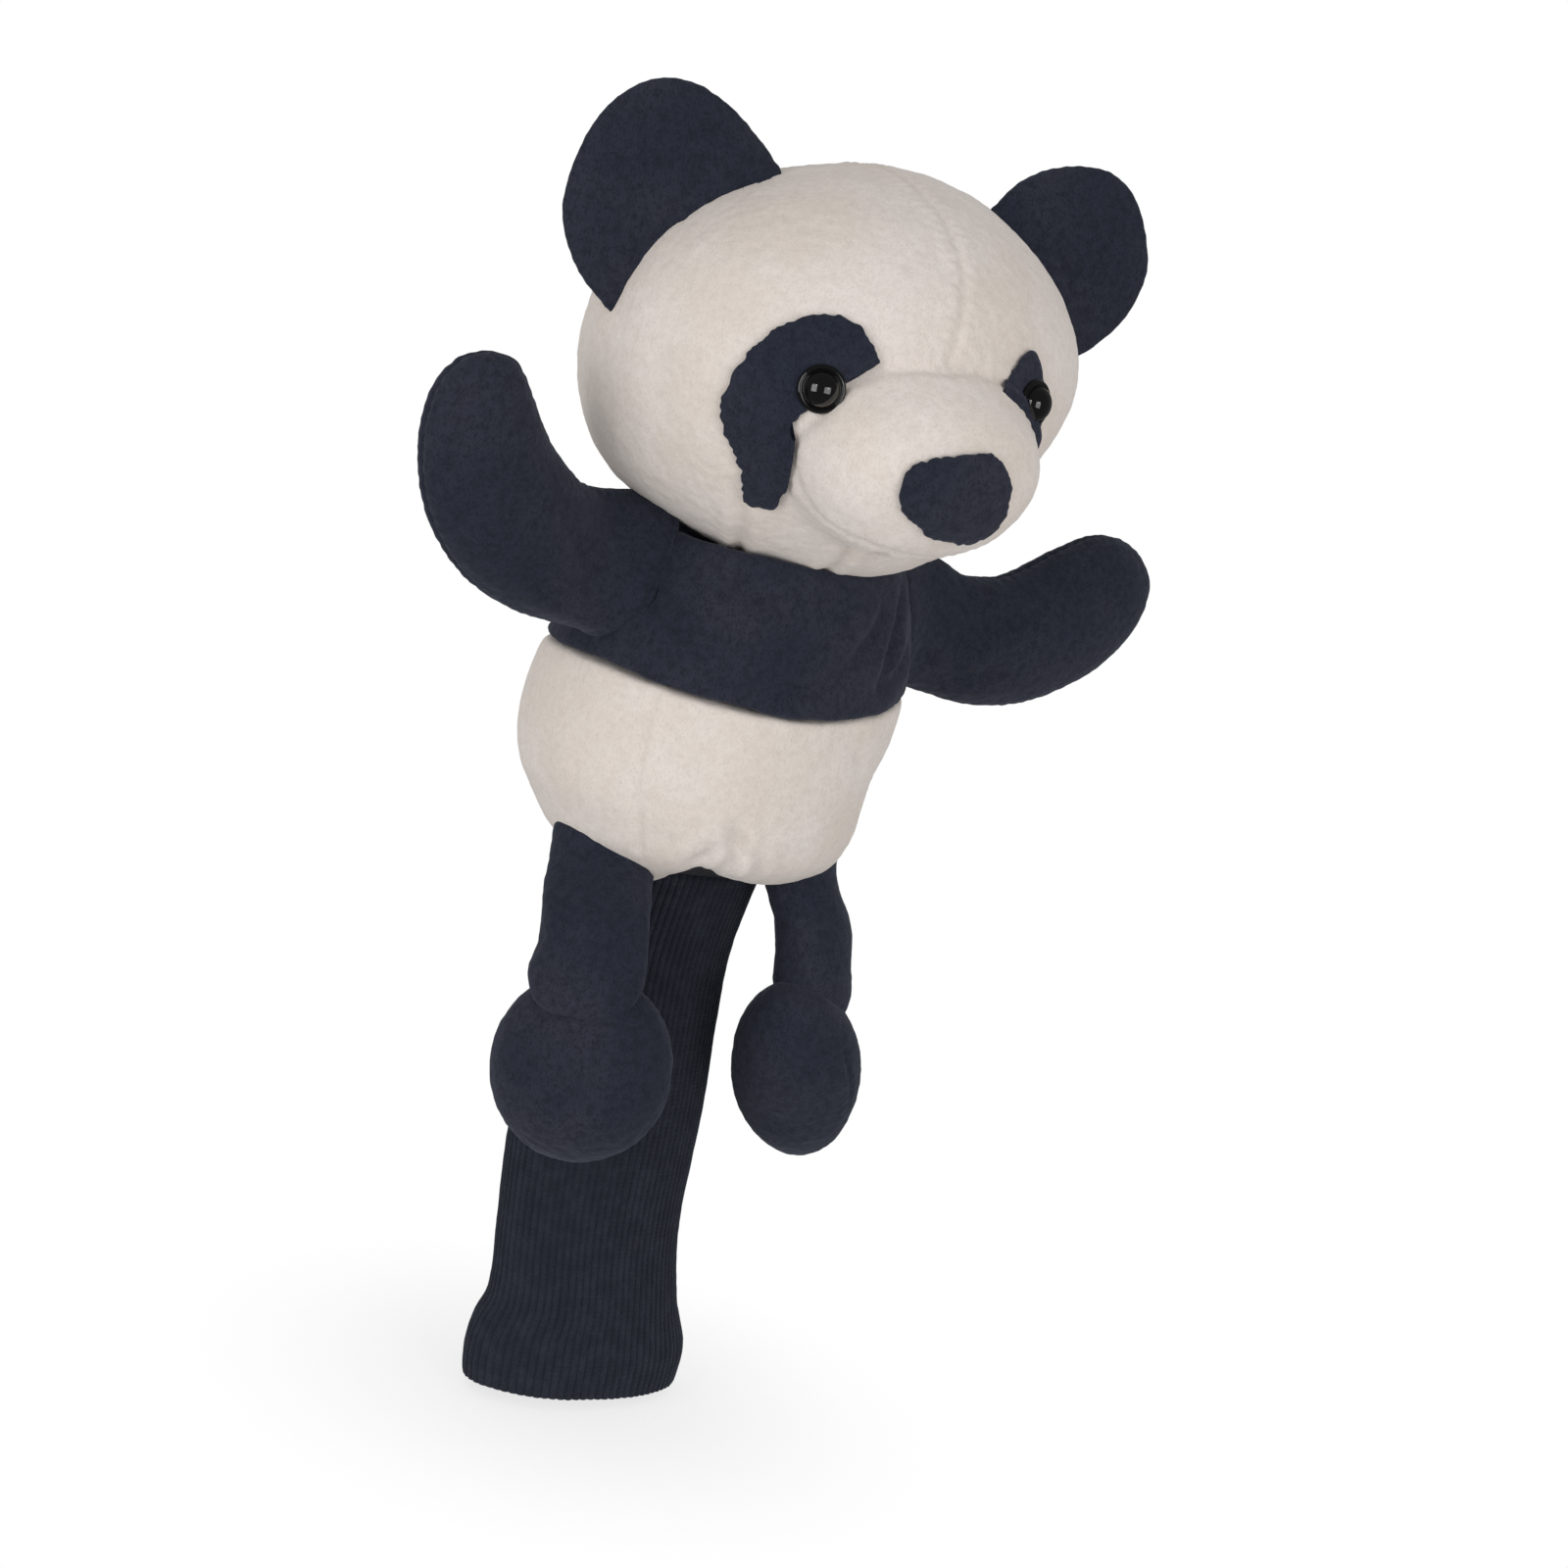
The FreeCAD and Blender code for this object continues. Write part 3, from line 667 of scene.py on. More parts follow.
def make_patch(name, outline, thick, most, seed, amount=0.6, step=0.7):
    """A dark plush patch that lies on the face: a padded top and a flat underside just in the head."""
    outline = ragged(outline, step, seed, amount)
    flat, faces, edge, rim = patch_points(outline, step)
    local = on_face(np.column_stack([flat[:, 0], np.zeros(len(flat)), flat[:, 1]]), most)
    lift = thick * np.sqrt(np.clip(1 - edge**6, 0, 1)) + 0.15 * noise(local, 2.2, seed + 2)
    outwards = face_normal(local, most)
    top = on_head(local) + outwards * lift[:, None]
    under = on_head(local) - outwards * 0.8
    count = len(flat)
    points = np.vstack([top, under])
    faces = faces + [tuple(count + i for i in reversed(f)) for f in faces]
    around = len(outline)
    for j in range(around):
        k = (j + 1) % around
        faces.append((rim + j, rim + k, count + rim + k, count + rim + j))
    return make_piece(name, points, faces)


def face_normal(local, most):
    """Outward directions of the face at local places, in the whole's frame."""
    step = 0.5
    right = on_face(local + np.array([step, 0, 0]), most) - local
    up = on_face(local + np.array([0, 0, step]), most) - local
    return unit(np.cross(right, up)) @ HEAD_AXES.T


# Outlines seen from the front, in the head's own frame: across to its left, and up.
EYE_PATCH_RIGHT = [
    (-23.5, 9), (-27, 15.5), (-32, 21.5), (-40, 23.5), (-53, 19.5), (-62, 11.5), (-68, 0), (-70, -11),
    (-67, -21), (-60, -33), (-55, -44), (-47, -47), (-44.5, -45.5), (-51, -36), (-53.5, -28), (-52, -19),
    (-47, -11), (-36, 0.5),
]
EYE_PATCH_LEFT = [
    (22, 2), (28, 6.5), (33, 12), (38.5, 16.5), (43, 14.5), (46, 8.5), (48, 0), (48, -11), (46.5, -23),
    (43, -35), (38, -40), (33.5, -30), (32, -20), (29, -10), (25, -3),
]
NOSE = [
    (-17.5, -21.5), (-6, -18.5), (6, -17.5), (13, -20), (18.5, -30), (19, -41), (14.5, -47.5), (5.5, -50),
    (-9.5, -46.5), (-20.5, -38), (-23, -30.5), (-21.5, -24.5),
]


def make_face():
    for name, outline, thick, most, seed in (
        ("eye_patch_right", EYE_PATCH_RIGHT, 1.5, 3.0, 21),
        ("eye_patch_left", EYE_PATCH_LEFT, 1.5, 3.0, 31),
        ("nose", NOSE, 2.4, None, 41),
    ):
        patch = make_patch(f"{name}_plush", outline, thick, most, seed)
        paint_piece(patch, BLACK)
        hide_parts(name)
        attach(patch, "head")


# ---- eyes

# The eye turned about its shank: distance from the axis, height above the patch.
EYE_PROFILE = [
    (2.1, -12.5), (2.1, -1.2), (7.6, -1.2), (8.3, -0.9), (8.6, -0.1), (8.5, 0.7), (7.9, 1.3), (7.1, 1.35),
    (6.6, 0.95), (6.35, 0.9), (6.25, 1.4), (6.0, 2.5), (5.3, 3.7), (4.2, 4.7), (2.8, 5.4), (1.4, 5.8),
    (0.5, 5.9),
]
EYE_RISE = 6.0  # from the patch to the top of the dome


def eye_frame(side):
    """Points of the CAD eye and its outward direction: whichever of its own axes is nearest the head's
    normal."""
    points = read_points(frame["nodes"][f"eye_{SIDE_NAMES[side]}"].data)
    local = in_head(points)
    normal = unit((local.min(axis=0) + local.max(axis=0)) / 2 / HEAD_HALF**2)
    axes = np.linalg.svd(local - local.mean(axis=0), full_matrices=False)[2]
    axis = axes[np.argmax(np.abs(axes @ normal))]
    return points, axis * np.sign(axis @ normal) @ HEAD_AXES.T


def make_eye(side):
    word = SIDE_NAMES[side]
    points, axis = eye_frame(side)
    height = points @ axis
    top = points[height > height.max() - 0.3].mean(axis=0)
    base = top - axis * EYE_RISE
    sideways = unit(np.cross(axis, [0, 0, 1]))
    upwards = np.cross(sideways, axis)
    turn = turns(56)
    circle = np.outer(np.cos(turn), sideways) + np.outer(np.sin(turn), upwards)
    eye = loft(f"eye_dome_{word}", [base + circle * radius + axis * lift for radius, lift in EYE_PROFILE])
    refine(eye, 1)
    paint_piece(eye, EYE)
    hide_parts(f"eye_{word}")
    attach(eye, "head")
    washer = frame["nodes"][f"eye_washer_{word}"]
    washer.data.materials.clear()
    washer.data.materials.append(WASHER)


# ---- ears

EAR_SET = {RIGHT: 55.0, LEFT: 62.5}
EAR_REACH = {RIGHT: 88.0, LEFT: 97.0}
EAR_HALF_THICK = 5.5
EAR_BACK = -8.0
EAR_TUCK = 2.0  # how far its base goes under the head's surface
# Angle from the outward direction towards the head's left, in degrees, and the outline's radius there.
EAR_OUTLINE = {
    RIGHT: [
        (-150, 42), (-120, 41), (-85, 40.5), (-60, 41.2), (-35, 42.8), (-10, 43.3), (10, 45.6), (28, 48),
        (42, 49.2), (54, 48.4), (75, 45), (95, 43.5), (121, 45), (150, 42), (210, 42),
    ],
    LEFT: [
        (-150, 36), (-111, 35.5), (-80, 37), (-64, 38.6), (-48, 41.2), (-33, 44.4), (-19, 45.6), (-5, 44.8),
        (11, 43.6), (23, 43.4), (37, 41.4), (54, 39.4), (71, 37.3), (88, 37), (120, 36.5), (210, 36),
    ],
}


def ear_axes(side):
    """The ear's outward direction, its direction along the base, and its front, in the head's frame."""
    angle = math.radians(EAR_SET[side])
    outwards = np.array([side * math.sin(angle), 0, math.cos(angle)])
    along = np.array([math.cos(angle), 0, -side * math.sin(angle)])
    return outwards, along, np.array([0.0, -1.0, 0.0])


def make_ear(side):
    word = SIDE_NAMES[side]
    outwards, along, front = ear_axes(side)
    centre = outwards * EAR_REACH[side] + np.array([0, EAR_BACK, 0])
    turn = np.linspace(-math.pi, math.pi, 96, endpoint=False)
    reach = table(EAR_OUTLINE[side], np.degrees(turn))[:, 0]
    outline = np.outer(np.sin(turn) * reach, along) + np.outer(np.cos(turn) * reach, outwards)
    rings = []
    for lean in np.linspace(-0.5, 0.5, 26) * math.pi * 0.985:
        spread = math.cos(lean) ** 0.75
        rings.append(on_head(centre + outline * spread + front * math.sin(lean) * EAR_HALF_THICK))
    ear = loft(f"ear_{word}_plush", rings)
    trim_ear(ear)
    rim = centre + outline
    seam = on_head(rim[np.linalg.norm(rim, axis=1) > head_reach(unit(rim)) + 2])
    refine(ear, 1)
    fold = [
        on_head(centre + along * a + outwards * (2 + 0.004 * a * a) + front * EAR_HALF_THICK)
        for a in np.linspace(-30, 30, 9)
    ]
    dress(ear, 51 + side, [seam[order_of(seam)]], [(fold, 0.7, 2.2)], height=0.2, depth=0.8, width=1.3)
    paint_piece(ear, BLACK)
    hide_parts(f"ear_{word}")
    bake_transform(ear)


def order_of(points):
    """The order of points along an open line, starting at the widest gap."""
    gaps = np.linalg.norm(points - np.roll(points, 1, axis=0), axis=1)
    return np.roll(np.arange(len(points)), -int(gaps.argmax()))


def trim_ear(ear):
    """Ends the ear a little under the head's surface, where it is sewn in."""
    local = in_head(read_points(ear.data))
    least = head_reach(unit(local)) - EAR_TUCK
    low = np.linalg.norm(local, axis=1) < least
    local[low] = unit(local[low]) * least[low][:, None]
    write_points(ear, on_head(local))


# ---- torso

HEM = 224.0
TORSO_HALF = np.array([75.0, 66.0])
TORSO_TALL = 144.0
TORSO_LEAN = 27.0
TORSO_STATIONS = [
    (0.0, 0.66, 0.33), (0.06, 0.81, 0.34), (0.15, 0.92, 0.36), (0.27, 0.985, 0.38), (0.40, 1.0, 0.40),
    (0.54, 0.98, 0.46), (0.69, 0.91, 0.62), (0.84, 0.79, 0.80), (1.0, 0.62, 1.0),
]
# Height, how far the stuffed body sags off its straight shape across and back, and its share of the
# width.
TORSO_SWAY = [
    (224, -0.8, 0.9, 0.955), (242, -1.4, 1.4, 0.962), (255, -4.2, 2.2, 0.97), (268, -5.4, 2.4, 0.968),
    (285, -3.0, 2.4, 1.0), (300, -1.2, 2.0, 1.016), (320, -0.3, 1.0, 1.014), (345, 0, 0, 1), (370, 0, 0, 1),
]
TORSO_AROUND = 168
# The pocket: height above the hem, half width, half depth, and how far forward it leans.
POCKET = [
    (0, 44.8, 30.2, 0), (13.6, 44.3, 32.8, 3.2), (29.4, 50.2, 37.2, 8), (47.5, 54, 40, 11.2),
    (67.8, 52.9, 39.2, 13.6), (80.2, 45.9, 34, 15.2), (90.4, 37.8, 28, 16), (101.7, 31.3, 23.2, 16),
    (109.6, 23.8, 17.6, 16), (113, 13.5, 10, 16),
]
POCKET_TALL = 113.0
POCKET_LEAN = 16.0
POCKET_WALL = 1.0  # from the pocket's outside to the cloth and filling around it
# Turn about the torso in degrees, height of the seam between belly and yoke.
YOKE_SEAM = [
    (-190, 303.8), (-157, 302.4), (-140, 299.8), (-123, 297.7), (-104, 296.4), (-83, 296.9), (-62, 300.4),
    (-34, 306), (0, 308), (60, 307), (120, 305), (170, 303.8),
]
# Turn about the torso in degrees, height of the belly's lower edge above the hem.
BELLY_EDGE = [
    (-190, -2), (-172, -4), (-156, -5.5), (-134, -4.5), (-122, 1), (-112, 9), (-100, 5), (-80, 1), (-60, 0),
    (-45, 2), (0, 3), (90, 1), (170, -2),
]


def torso_ring(turn, height, inset=0.0):
    """Points of the torso's outside at turns about its axis, each at its own height."""
    share = (np.asarray(height, float) - HEM) / TORSO_TALL
    full, lean = table(TORSO_STATIONS, share).T
    half = TORSO_HALF * full[:, None] - inset
    sway = table(TORSO_SWAY, height)
    across = half[:, 0] * sway[:, 2] * np.cos(turn) + sway[:, 0]
    deep = half[:, 1] * np.sin(turn) - lean * TORSO_LEAN + sway[:, 1]
    return np.column_stack([across, deep, height])


def pocket_ring(turn, height, grow=POCKET_WALL):
    height = np.broadcast_to(np.asarray(height, float), turn.shape)
    wide, deep, lean = table(POCKET, height - HEM).T
    return np.column_stack([(wide + grow) * np.cos(turn), (deep + grow) * np.sin(turn) - lean, height])


def closing_ring(turn, wide, deep, height):
    """A small ring over the pocket's top."""
    across = wide * np.cos(turn)
    return np.column_stack([across, deep * np.sin(turn) - POCKET_LEAN, np.full(len(turn), height)])


def shelf(turn, height):
    """Rings from the pocket out towards the torso's outside."""
    inner = pocket_ring(turn, height)
    outer = torso_ring(turn, height, 3)
    return [inner + (outer - inner) * share for share in (0.35, 0.75)]


def around_torso(rows, turn):
    """Values of a table whose first column is the turn in degrees, from -190 to 170."""
    return table(rows, (np.degrees(turn) + 190) % 360 - 190)[:, 0]


def under_head(points, grow):
    """Height of the head's underside above flat places, grown outwards by a number of millimetres."""
    half = HEAD_HALF + grow
    start = in_head(points) / half
    up = HEAD_AXES[2] / half
    a = up @ up
    b = start @ up
    inside = b * b - a * ((start * start).sum(axis=1) - 1)
    root = (-b - np.sqrt(np.maximum(inside, 0))) / a
    return np.where(inside > 0, points[:, 2] + root, np.inf)


def rim_height(turn, grow):
    """Height at which the torso's outside meets the head."""
    low = np.full(len(turn), 320.0)
    high = np.full(len(turn), HEM + TORSO_TALL - 0.1)
    for _ in range(24):
        mid = (low + high) / 2
        ring = torso_ring(turn, mid)
        above = ring[:, 2] >= under_head(ring, grow)
        high = np.where(above, mid, high)
        low = np.where(above, low, mid)
    return (low + high) / 2


def make_belly():
    turn = turns(TORSO_AROUND)
    seam = around_torso(YOKE_SEAM, turn)
    edge = HEM + around_torso(BELLY_EDGE, turn)
    rings = [pocket_ring(turn, seam - 3), *shelf(turn, seam - 1)]
    rings.append(torso_ring(turn, seam - 0.8, 2.4))
    rings.append(torso_ring(turn, seam - 1.6, 1.1))
    for share in np.linspace(0, 1, 22):
        rings.append(torso_ring(turn, edge + 9 + (seam - 13 - edge) * (1 - share), 0.6))
    for lift, inset in ((5.5, 1.5), (2.8, 4.0), (1.2, 7.5), (0.6, 10.0)):
        rings.append(torso_ring(turn, edge + lift, inset))
    rings.append(pocket_ring(turn, edge + 1.0))
    for share in np.linspace(0.1, 0.9, 8):
        rings.append(pocket_ring(turn, edge + (seam - 3 - edge) * share))
    belly = loft("belly", rings, joined=True)
    pinch = [(-21, -85, 252), (-19.5, -84, 245), (-18.5, -80, 237), (-17, -72, 229)]
    side = [(-60, -60, 298), (-60, -60, 284), (-59, -60, 268), (-55, -56, 250), (-50, -50, 236)]
    lines = [torso_line(pinch), torso_line(side), torso_line(mirrored(side))]
    inflate(belly, lines, cap=2.0, pressure=2.0)
    refine(belly, 1)
    folds = [
        (torso_line(pinch), 4.2, 3.2),
        (torso_line([(-26, -85, 246), (-33, -80, 238), (-37, -70, 232)]), 2.0, 3.5),
        (torso_line([(-12, -85, 244), (-4, -85, 236), (0, -80, 230)]), 1.8, 3.0),
        (torso_line([(20, -80, 292), (34, -78, 286), (44, -70, 276)]), 1.4, 4.0),
    ]
    dress(belly, 61, lines[1:], folds, height=0.2, depth=1.1, width=1.6)
    paint_piece(belly, CREAM)
    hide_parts("belly_skin")
    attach(belly, "body")


def torso_line(points):
    """A smooth line laid on the torso's outside from rough places near it."""
    line = curve_through(points, 1.5)
    share = (line[:, 2] - HEM) / TORSO_TALL
    full, lean = table(TORSO_STATIONS, share).T
    turn = np.arctan2((line[:, 1] + lean * TORSO_LEAN) / TORSO_HALF[1], line[:, 0] / TORSO_HALF[0])
    return torso_ring(turn, line[:, 2])


def make_yoke():
    turn = turns(TORSO_AROUND)
    seam = around_torso(YOKE_SEAM, turn)
    tuft = 0.35 * noise(torso_ring(turn, seam), 3.0, 77)
    rim = rim_height(turn, 0.5)
    pocket_top = HEM + POCKET_TALL
    rings = [
        closing_ring(turn, 5.0, 3.7, pocket_top + 0.8),
        closing_ring(turn, 14.0, 10.36, pocket_top + 0.2),
    ]
    for below in (2.5, 7, 15, 25):
        rings.append(pocket_ring(turn, pocket_top - below))
    rings += [pocket_ring(turn, seam + 1.5), *shelf(turn, seam + 0.4)]
    rings.append(torso_ring(turn, seam + 0.2 + tuft, 2.0))
    rings.append(torso_ring(turn, seam + 0.9 + tuft, 0.4))
    for share in np.linspace(0, 1, 16):
        rings.append(torso_ring(turn, seam + 3 + (rim - 1.5 - seam - 3) * share, 0.3))
    edge = torso_ring(turn, rim, 0.8)
    neck = np.array([HEAD_CENTRE[0], HEAD_CENTRE[1] + 6, 0])
    for share in (0.97, 0.9, 0.78, 0.6, 0.4, 0.2, 0.08):
        flat = neck + (edge - neck) * share
        flat[:, 2] = 300
        flat[:, 2] = under_head(flat, 1.3)
        rings.append(flat)
    yoke = loft("yoke", rings)
    inflate(yoke, (), cap=1.2, pressure=1.5)
    refine(yoke, 1)
    folds = [
        (torso_line([(44, -60, 352), (36, -66, 338), (31, -70, 322), (32, -70, 311)]), 3.2, 3.4),
        (torso_line([(27, -70, 345), (20, -74, 330), (6, -77, 314)]), 2.6, 4.0),
        (torso_line([(8, -76, 312), (-8, -77, 308), (-24, -74, 306)]), 2.4, 3.5),
        (torso_line([(-40, -60, 346), (-30, -68, 340), (-16, -72, 338)]), 2.0, 4.5),
        (torso_line([(-60, -30, 336), (-54, -52, 326), (-42, -64, 316)]), 2.6, 4.5),
        (torso_line([(48, -50, 330), (40, -62, 318), (26, -72, 309)]), 2.4, 3.5),
    ]
    dress(yoke, 71, (), folds)
    paint_piece(yoke, BLACK)
    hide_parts("chest_skin", "body_stuffing")
    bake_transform(yoke)


# ---- arms

# Share of the length, shares of the half width and half thickness.
ARM_STATIONS = [
    (0.0, 0.89, 1.2), (0.06, 0.85, 1.05), (0.12, 0.80, 0.86), (0.18, 0.79, 0.79), (0.38, 0.93, 0.93),
    (0.58, 1.0, 1.0), (0.76, 0.96, 0.96), (0.88, 0.80, 0.80), (0.95, 0.58, 0.58), (0.985, 0.34, 0.34),
    (0.997, 0.14, 0.14),
]
ARM_LONG = {RIGHT: 130.0, LEFT: 146.0}
ARM_HALF = {RIGHT: np.array([27.0, 20.0]), LEFT: np.array([29.5, 20.0])}
ARM_SHIFT = {RIGHT: -0.8, LEFT: 0.0}  # sideways by its tip
# How far the cloth stands out on the side towards the head: share of the length, millimetres.
ARM_INNER = {
    RIGHT: [(0, 14), (0.10, 14), (0.22, 11), (0.38, 5), (0.55, 1), (0.72, -3), (0.90, -4), (1.0, 0)],
    LEFT: [(0, 12), (0.12, 11), (0.28, 3), (0.45, -1), (0.65, 0), (0.82, 1), (0.94, 1.5), (1.0, 0)],
}
ARM_START = {RIGHT: 2.0, LEFT: -9.5}  # heading above level at the shoulder, in degrees
ARM_END = {RIGHT: 79.0, LEFT: 44.0}
ARM_FORWARD = {RIGHT: 30.0, LEFT: -4.0}  # by its tip
ARM_STEPS = 400
ROOT_RINGS = 7  # rings that bend onto the torso
# Folds: shares of the length where they start and end, how far across they start, depth.
ARM_FOLDS = [(0.10, 0.42, -0.75, 2.34), (0.06, 0.34, -0.35, 1.8), (0.12, 0.50, 0.15, 1.44)]


def arm_line(side, shares):
    """The arm's centre line and heading at shares of its length."""
    start = math.radians(ARM_START[side])
    turn = math.radians(ARM_END[side]) - start
    middles = (np.arange(ARM_STEPS) + 0.5) / ARM_STEPS
    heading = start + turn * smooth_step(middles, 0, 1)
    steps = np.column_stack([side * np.cos(heading), np.zeros(ARM_STEPS), np.sin(heading)])
    path = np.vstack([np.zeros(3), np.cumsum(steps * ARM_LONG[side] / ARM_STEPS, axis=0)])
    along = np.linspace(0, 1, ARM_STEPS + 1)
    path += np.outer(along, [ARM_SHIFT[side], -ARM_FORWARD[side], 0])
    places = np.stack([np.interp(shares, along, path[:, k]) for k in range(3)], axis=1)
    return pivot(f"arm_{SIDE_NAMES[side]}_swing") + places, start + turn * smooth_step(shares, 0, 1)


def make_arm(side):
    word = SIDE_NAMES[side]
    around = 56
    turn = turns(around)
    shares = np.concatenate([np.linspace(0.0, 0.9, 34), [0.925, 0.95, 0.968, 0.982, 0.992, 0.997]])
    places, headings = arm_line(side, shares)
    full = table(ARM_STATIONS, shares)
    rings = []
    half = ARM_HALF[side]
    for share, place, heading, (wide, thick) in zip(shares, places, headings, full):
        across = np.array([-side * math.sin(heading), 0, math.cos(heading)])
        gathered = table(ARM_INNER[side], [share])[0, 0] * np.maximum(np.cos(turn), 0) ** 0.8
        ring = place + np.outer(np.cos(turn) * (half[0] * wide - 1.0) + gathered, across)
        ring[:, 1] += np.sin(turn) * (half[1] * thick - 1.0)
        rings.append(ring)
    rings = root_on_yoke(np.array(rings), side)
    arm = loft(f"arm_{word}", rings)
    edge = np.vstack([rings[5:, 0], rings[::-1][: len(rings) - 5, around // 2]])
    inflate(arm, [edge], cap=2.0)
    refine(arm, 2)
    armhole = np.vstack([rings[1], rings[1][:1]])
    dress(arm, 81 + side, [edge, armhole], arm_folds(side), depth=0.9, width=1.4)
    paint_piece(arm, BLACK)
    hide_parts(f"arm_skin_{word}", f"arm_stuffing_{word}")
    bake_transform(arm)


def root_on_yoke(rings, side):
    """Bends the first rings of an arm so that it starts on the torso, just under its surface."""
    share = (rings[0][:, 2] - HEM) / TORSO_TALL
    full, lean = table(TORSO_STATIONS, share).T
    half = TORSO_HALF * full[:, None] - 1.5
    deep = np.clip((rings[0][:, 1] + lean * TORSO_LEAN) / half[:, 1], -0.97, 0.97)
    root_x = side * half[:, 0] * np.sqrt(1 - deep**2)
    for i in range(ROOT_RINGS):
        ease = (1 - i / ROOT_RINGS) ** 1.5
        wanted = root_x + side * i * 1.8
        rings[i][:, 0] += (wanted - rings[i][:, 0]) * ease
    return rings


def arm_folds(side):
    """Folds that run out from the armpit."""
    wide, thick = ARM_HALF[side] * 0.8
    folds = []
    for low, high, start, depth in ARM_FOLDS:
        shares = np.linspace(low, high, 6)
        places, headings = arm_line(side, shares)
        across = np.column_stack([-side * np.sin(headings), np.zeros(len(shares)), np.cos(headings)])
        drift = (start + (shares - low) * 1.2) * wide
        folds.append((places + across * drift[:, None] - np.array([0, thick, 0]), depth, 3.6))
    return folds


# ---- legs and feet

# Height above the hip, share of the half width.
LEG_STATIONS = [
    (-62.0, 0.30), (-58.0, 0.72), (-52.0, 0.93), (-32.0, 1.0), (-10.0, 1.0), (5.0, 0.96), (12.0, 0.8),
]
LEG_HALF = np.array([22.5, 15.5])
LEG_SPLAY = 38.0
ANKLE_DROP = 48.0
LEG_LEAN = {RIGHT: 20.0, LEFT: 10.0}  # forward by the ankle
LEG_TUCK = {RIGHT: 14.0, LEFT: 8.0}  # back under the belly at its top
FOOT_HALF = {RIGHT: np.array([35.5, 28.0, 38.0]), LEFT: np.array([27.0, 27.0, 44.0])}
FOOT_MIDDLE = {RIGHT: np.array([1.5, -12.0, -81.0]), LEFT: np.array([-2.0, -9.5, -81.0])}
# Where the filling pushes a foot out or leaves it slack: direction, millimetres.
FOOT_LOBES = {RIGHT: [], LEFT: [((-0.80, 0, 0.60), 6.5), ((0.70, 0, -0.72), 3.5), ((-0.60, 0, -0.80), -3.0)]}
LOBE_SPREAD = 0.6
FOOT_TWIST = {RIGHT: 0.0, LEFT: 36.0}  # degrees, its top towards the other foot


def leg_axes(side):
    """The leg's own axes as columns: across, back, and up; it faces along its own -Y."""
    angle = math.radians(side * LEG_SPLAY)
    cos, sin = math.cos(angle), math.sin(angle)
    return np.array([[cos, -sin, 0], [sin, cos, 0], [0, 0, 1]])


def on_leg(side, local):
    return pivot(f"leg_{SIDE_NAMES[side]}_swing") + np.asarray(local, float) @ leg_axes(side).T


def make_leg(side):
    word = SIDE_NAMES[side]
    turn = turns(48)
    rings = []
    for height in np.concatenate([np.linspace(12, -50, 20), [-53, -56, -58.5, -60.5, -62]]):
        full = table(LEG_STATIONS, height)[0, 0]
        forward = LEG_LEAN[side] * min(max(-height, 0) / ANKLE_DROP, 1.2)
        tucked = LEG_TUCK[side] * smooth_step(height, -26.0, 0.0)
        if side == RIGHT:
            sideways = -2.5 - 7.0 * smooth_step(height, -40.0, 5.0)
        else:
            sideways = -0.5 - 4.0 * smooth_step(-height, 0.0, 50.0)
        ring = np.column_stack([
            np.cos(turn) * (LEG_HALF[0] * full - 0.8) + sideways,
            np.sin(turn) * (LEG_HALF[1] * full - 0.8) - forward + tucked,
            np.full(len(turn), height),
        ])
        rings.append(on_leg(side, ring))
    leg = loft(f"leg_{word}", rings)
    inflate(leg, (), cap=1.6, pressure=3.0)
    refine(leg, 2)
    fold = [on_leg(side, (-7 - 2 * math.sin(h / 9), -26 - 0.3 * abs(h), h)) for h in np.linspace(0, -44, 12)]
    dress(leg, 91 + side, (), [(fold, 1.6, 2.4)])
    paint_piece(leg, BLACK)
    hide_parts(f"leg_skin_{word}", f"leg_stuffing_{word}")
    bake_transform(leg)


def make_foot(side):
    word = SIDE_NAMES[side]
    directions, faces = sphere_grid(14)
    half = FOOT_HALF[side]
    lean = np.array(Matrix.Rotation(-math.radians(FOOT_TWIST[side]), 3, "Y"))
    local = (directions * (half - 1.0)) @ lean.T
    for place, amount in FOOT_LOBES[side]:
        apart = np.linalg.norm(unit(local) - unit(place), axis=1)
        local = local + np.outer(amount * np.exp(-((apart / LOBE_SPREAD) ** 2)), unit(place))
    foot = make_piece(f"foot_{word}", on_leg(side, FOOT_MIDDLE[side] + local), faces)
    a = np.linspace(-0.35, 1.15, 14) * math.pi / 2
    toe = np.column_stack([-6 - 5 * a, -half[1] * np.cos(a), -half[2] * np.sin(a)]) @ lean.T
    seam = on_leg(side, FOOT_MIDDLE[side] + toe)
    inflate(foot, [seam], cap=1.8)
    refine(foot, 2)
    dress(foot, 101 + side, [seam], width=1.4)
    paint_piece(foot, BLACK)
    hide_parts(f"foot_skin_{word}", f"foot_stuffing_{word}")
    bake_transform(foot)


# ---- sock and pocket

# Share of the sock's height, share of its half width and depth, share of the way to the flared cuff,
# share of its sway off the straight line.
SOCK_STATIONS = [
    (0.0, 1.0, 0.85, -0.15), (0.035, 1.0, 1.0, -0.15), (0.08, 1.01, 0.95, -0.1), (0.12, 1.01, 0.66, 0.0),
    (0.16, 1.0, 0.30, 0.0), (0.20, 1.0, 0.14, 0.12), (0.27, 1.0, 0.04, 0.42), (0.35, 1.01, 0.0, 0.65),
    (0.44, 1.03, 0.0, 0.75), (0.56, 1.04, 0.0, 0.8), (0.70, 1.03, 0.0, 1.0), (0.85, 1.02, 0.0, 1.0),
    (1.0, 1.08, 0.0, 0.5),
]
SOCK_SWAY = np.array([-5.7, 4.0])
SOCK_FRONT = math.radians(-125)  # the side where the mouth's rim sits a little higher
SOCK_HALF = np.array([40.0, 27.0])
CUFF_HALF = np.array([49.0, 28.0])
RIBS = 72
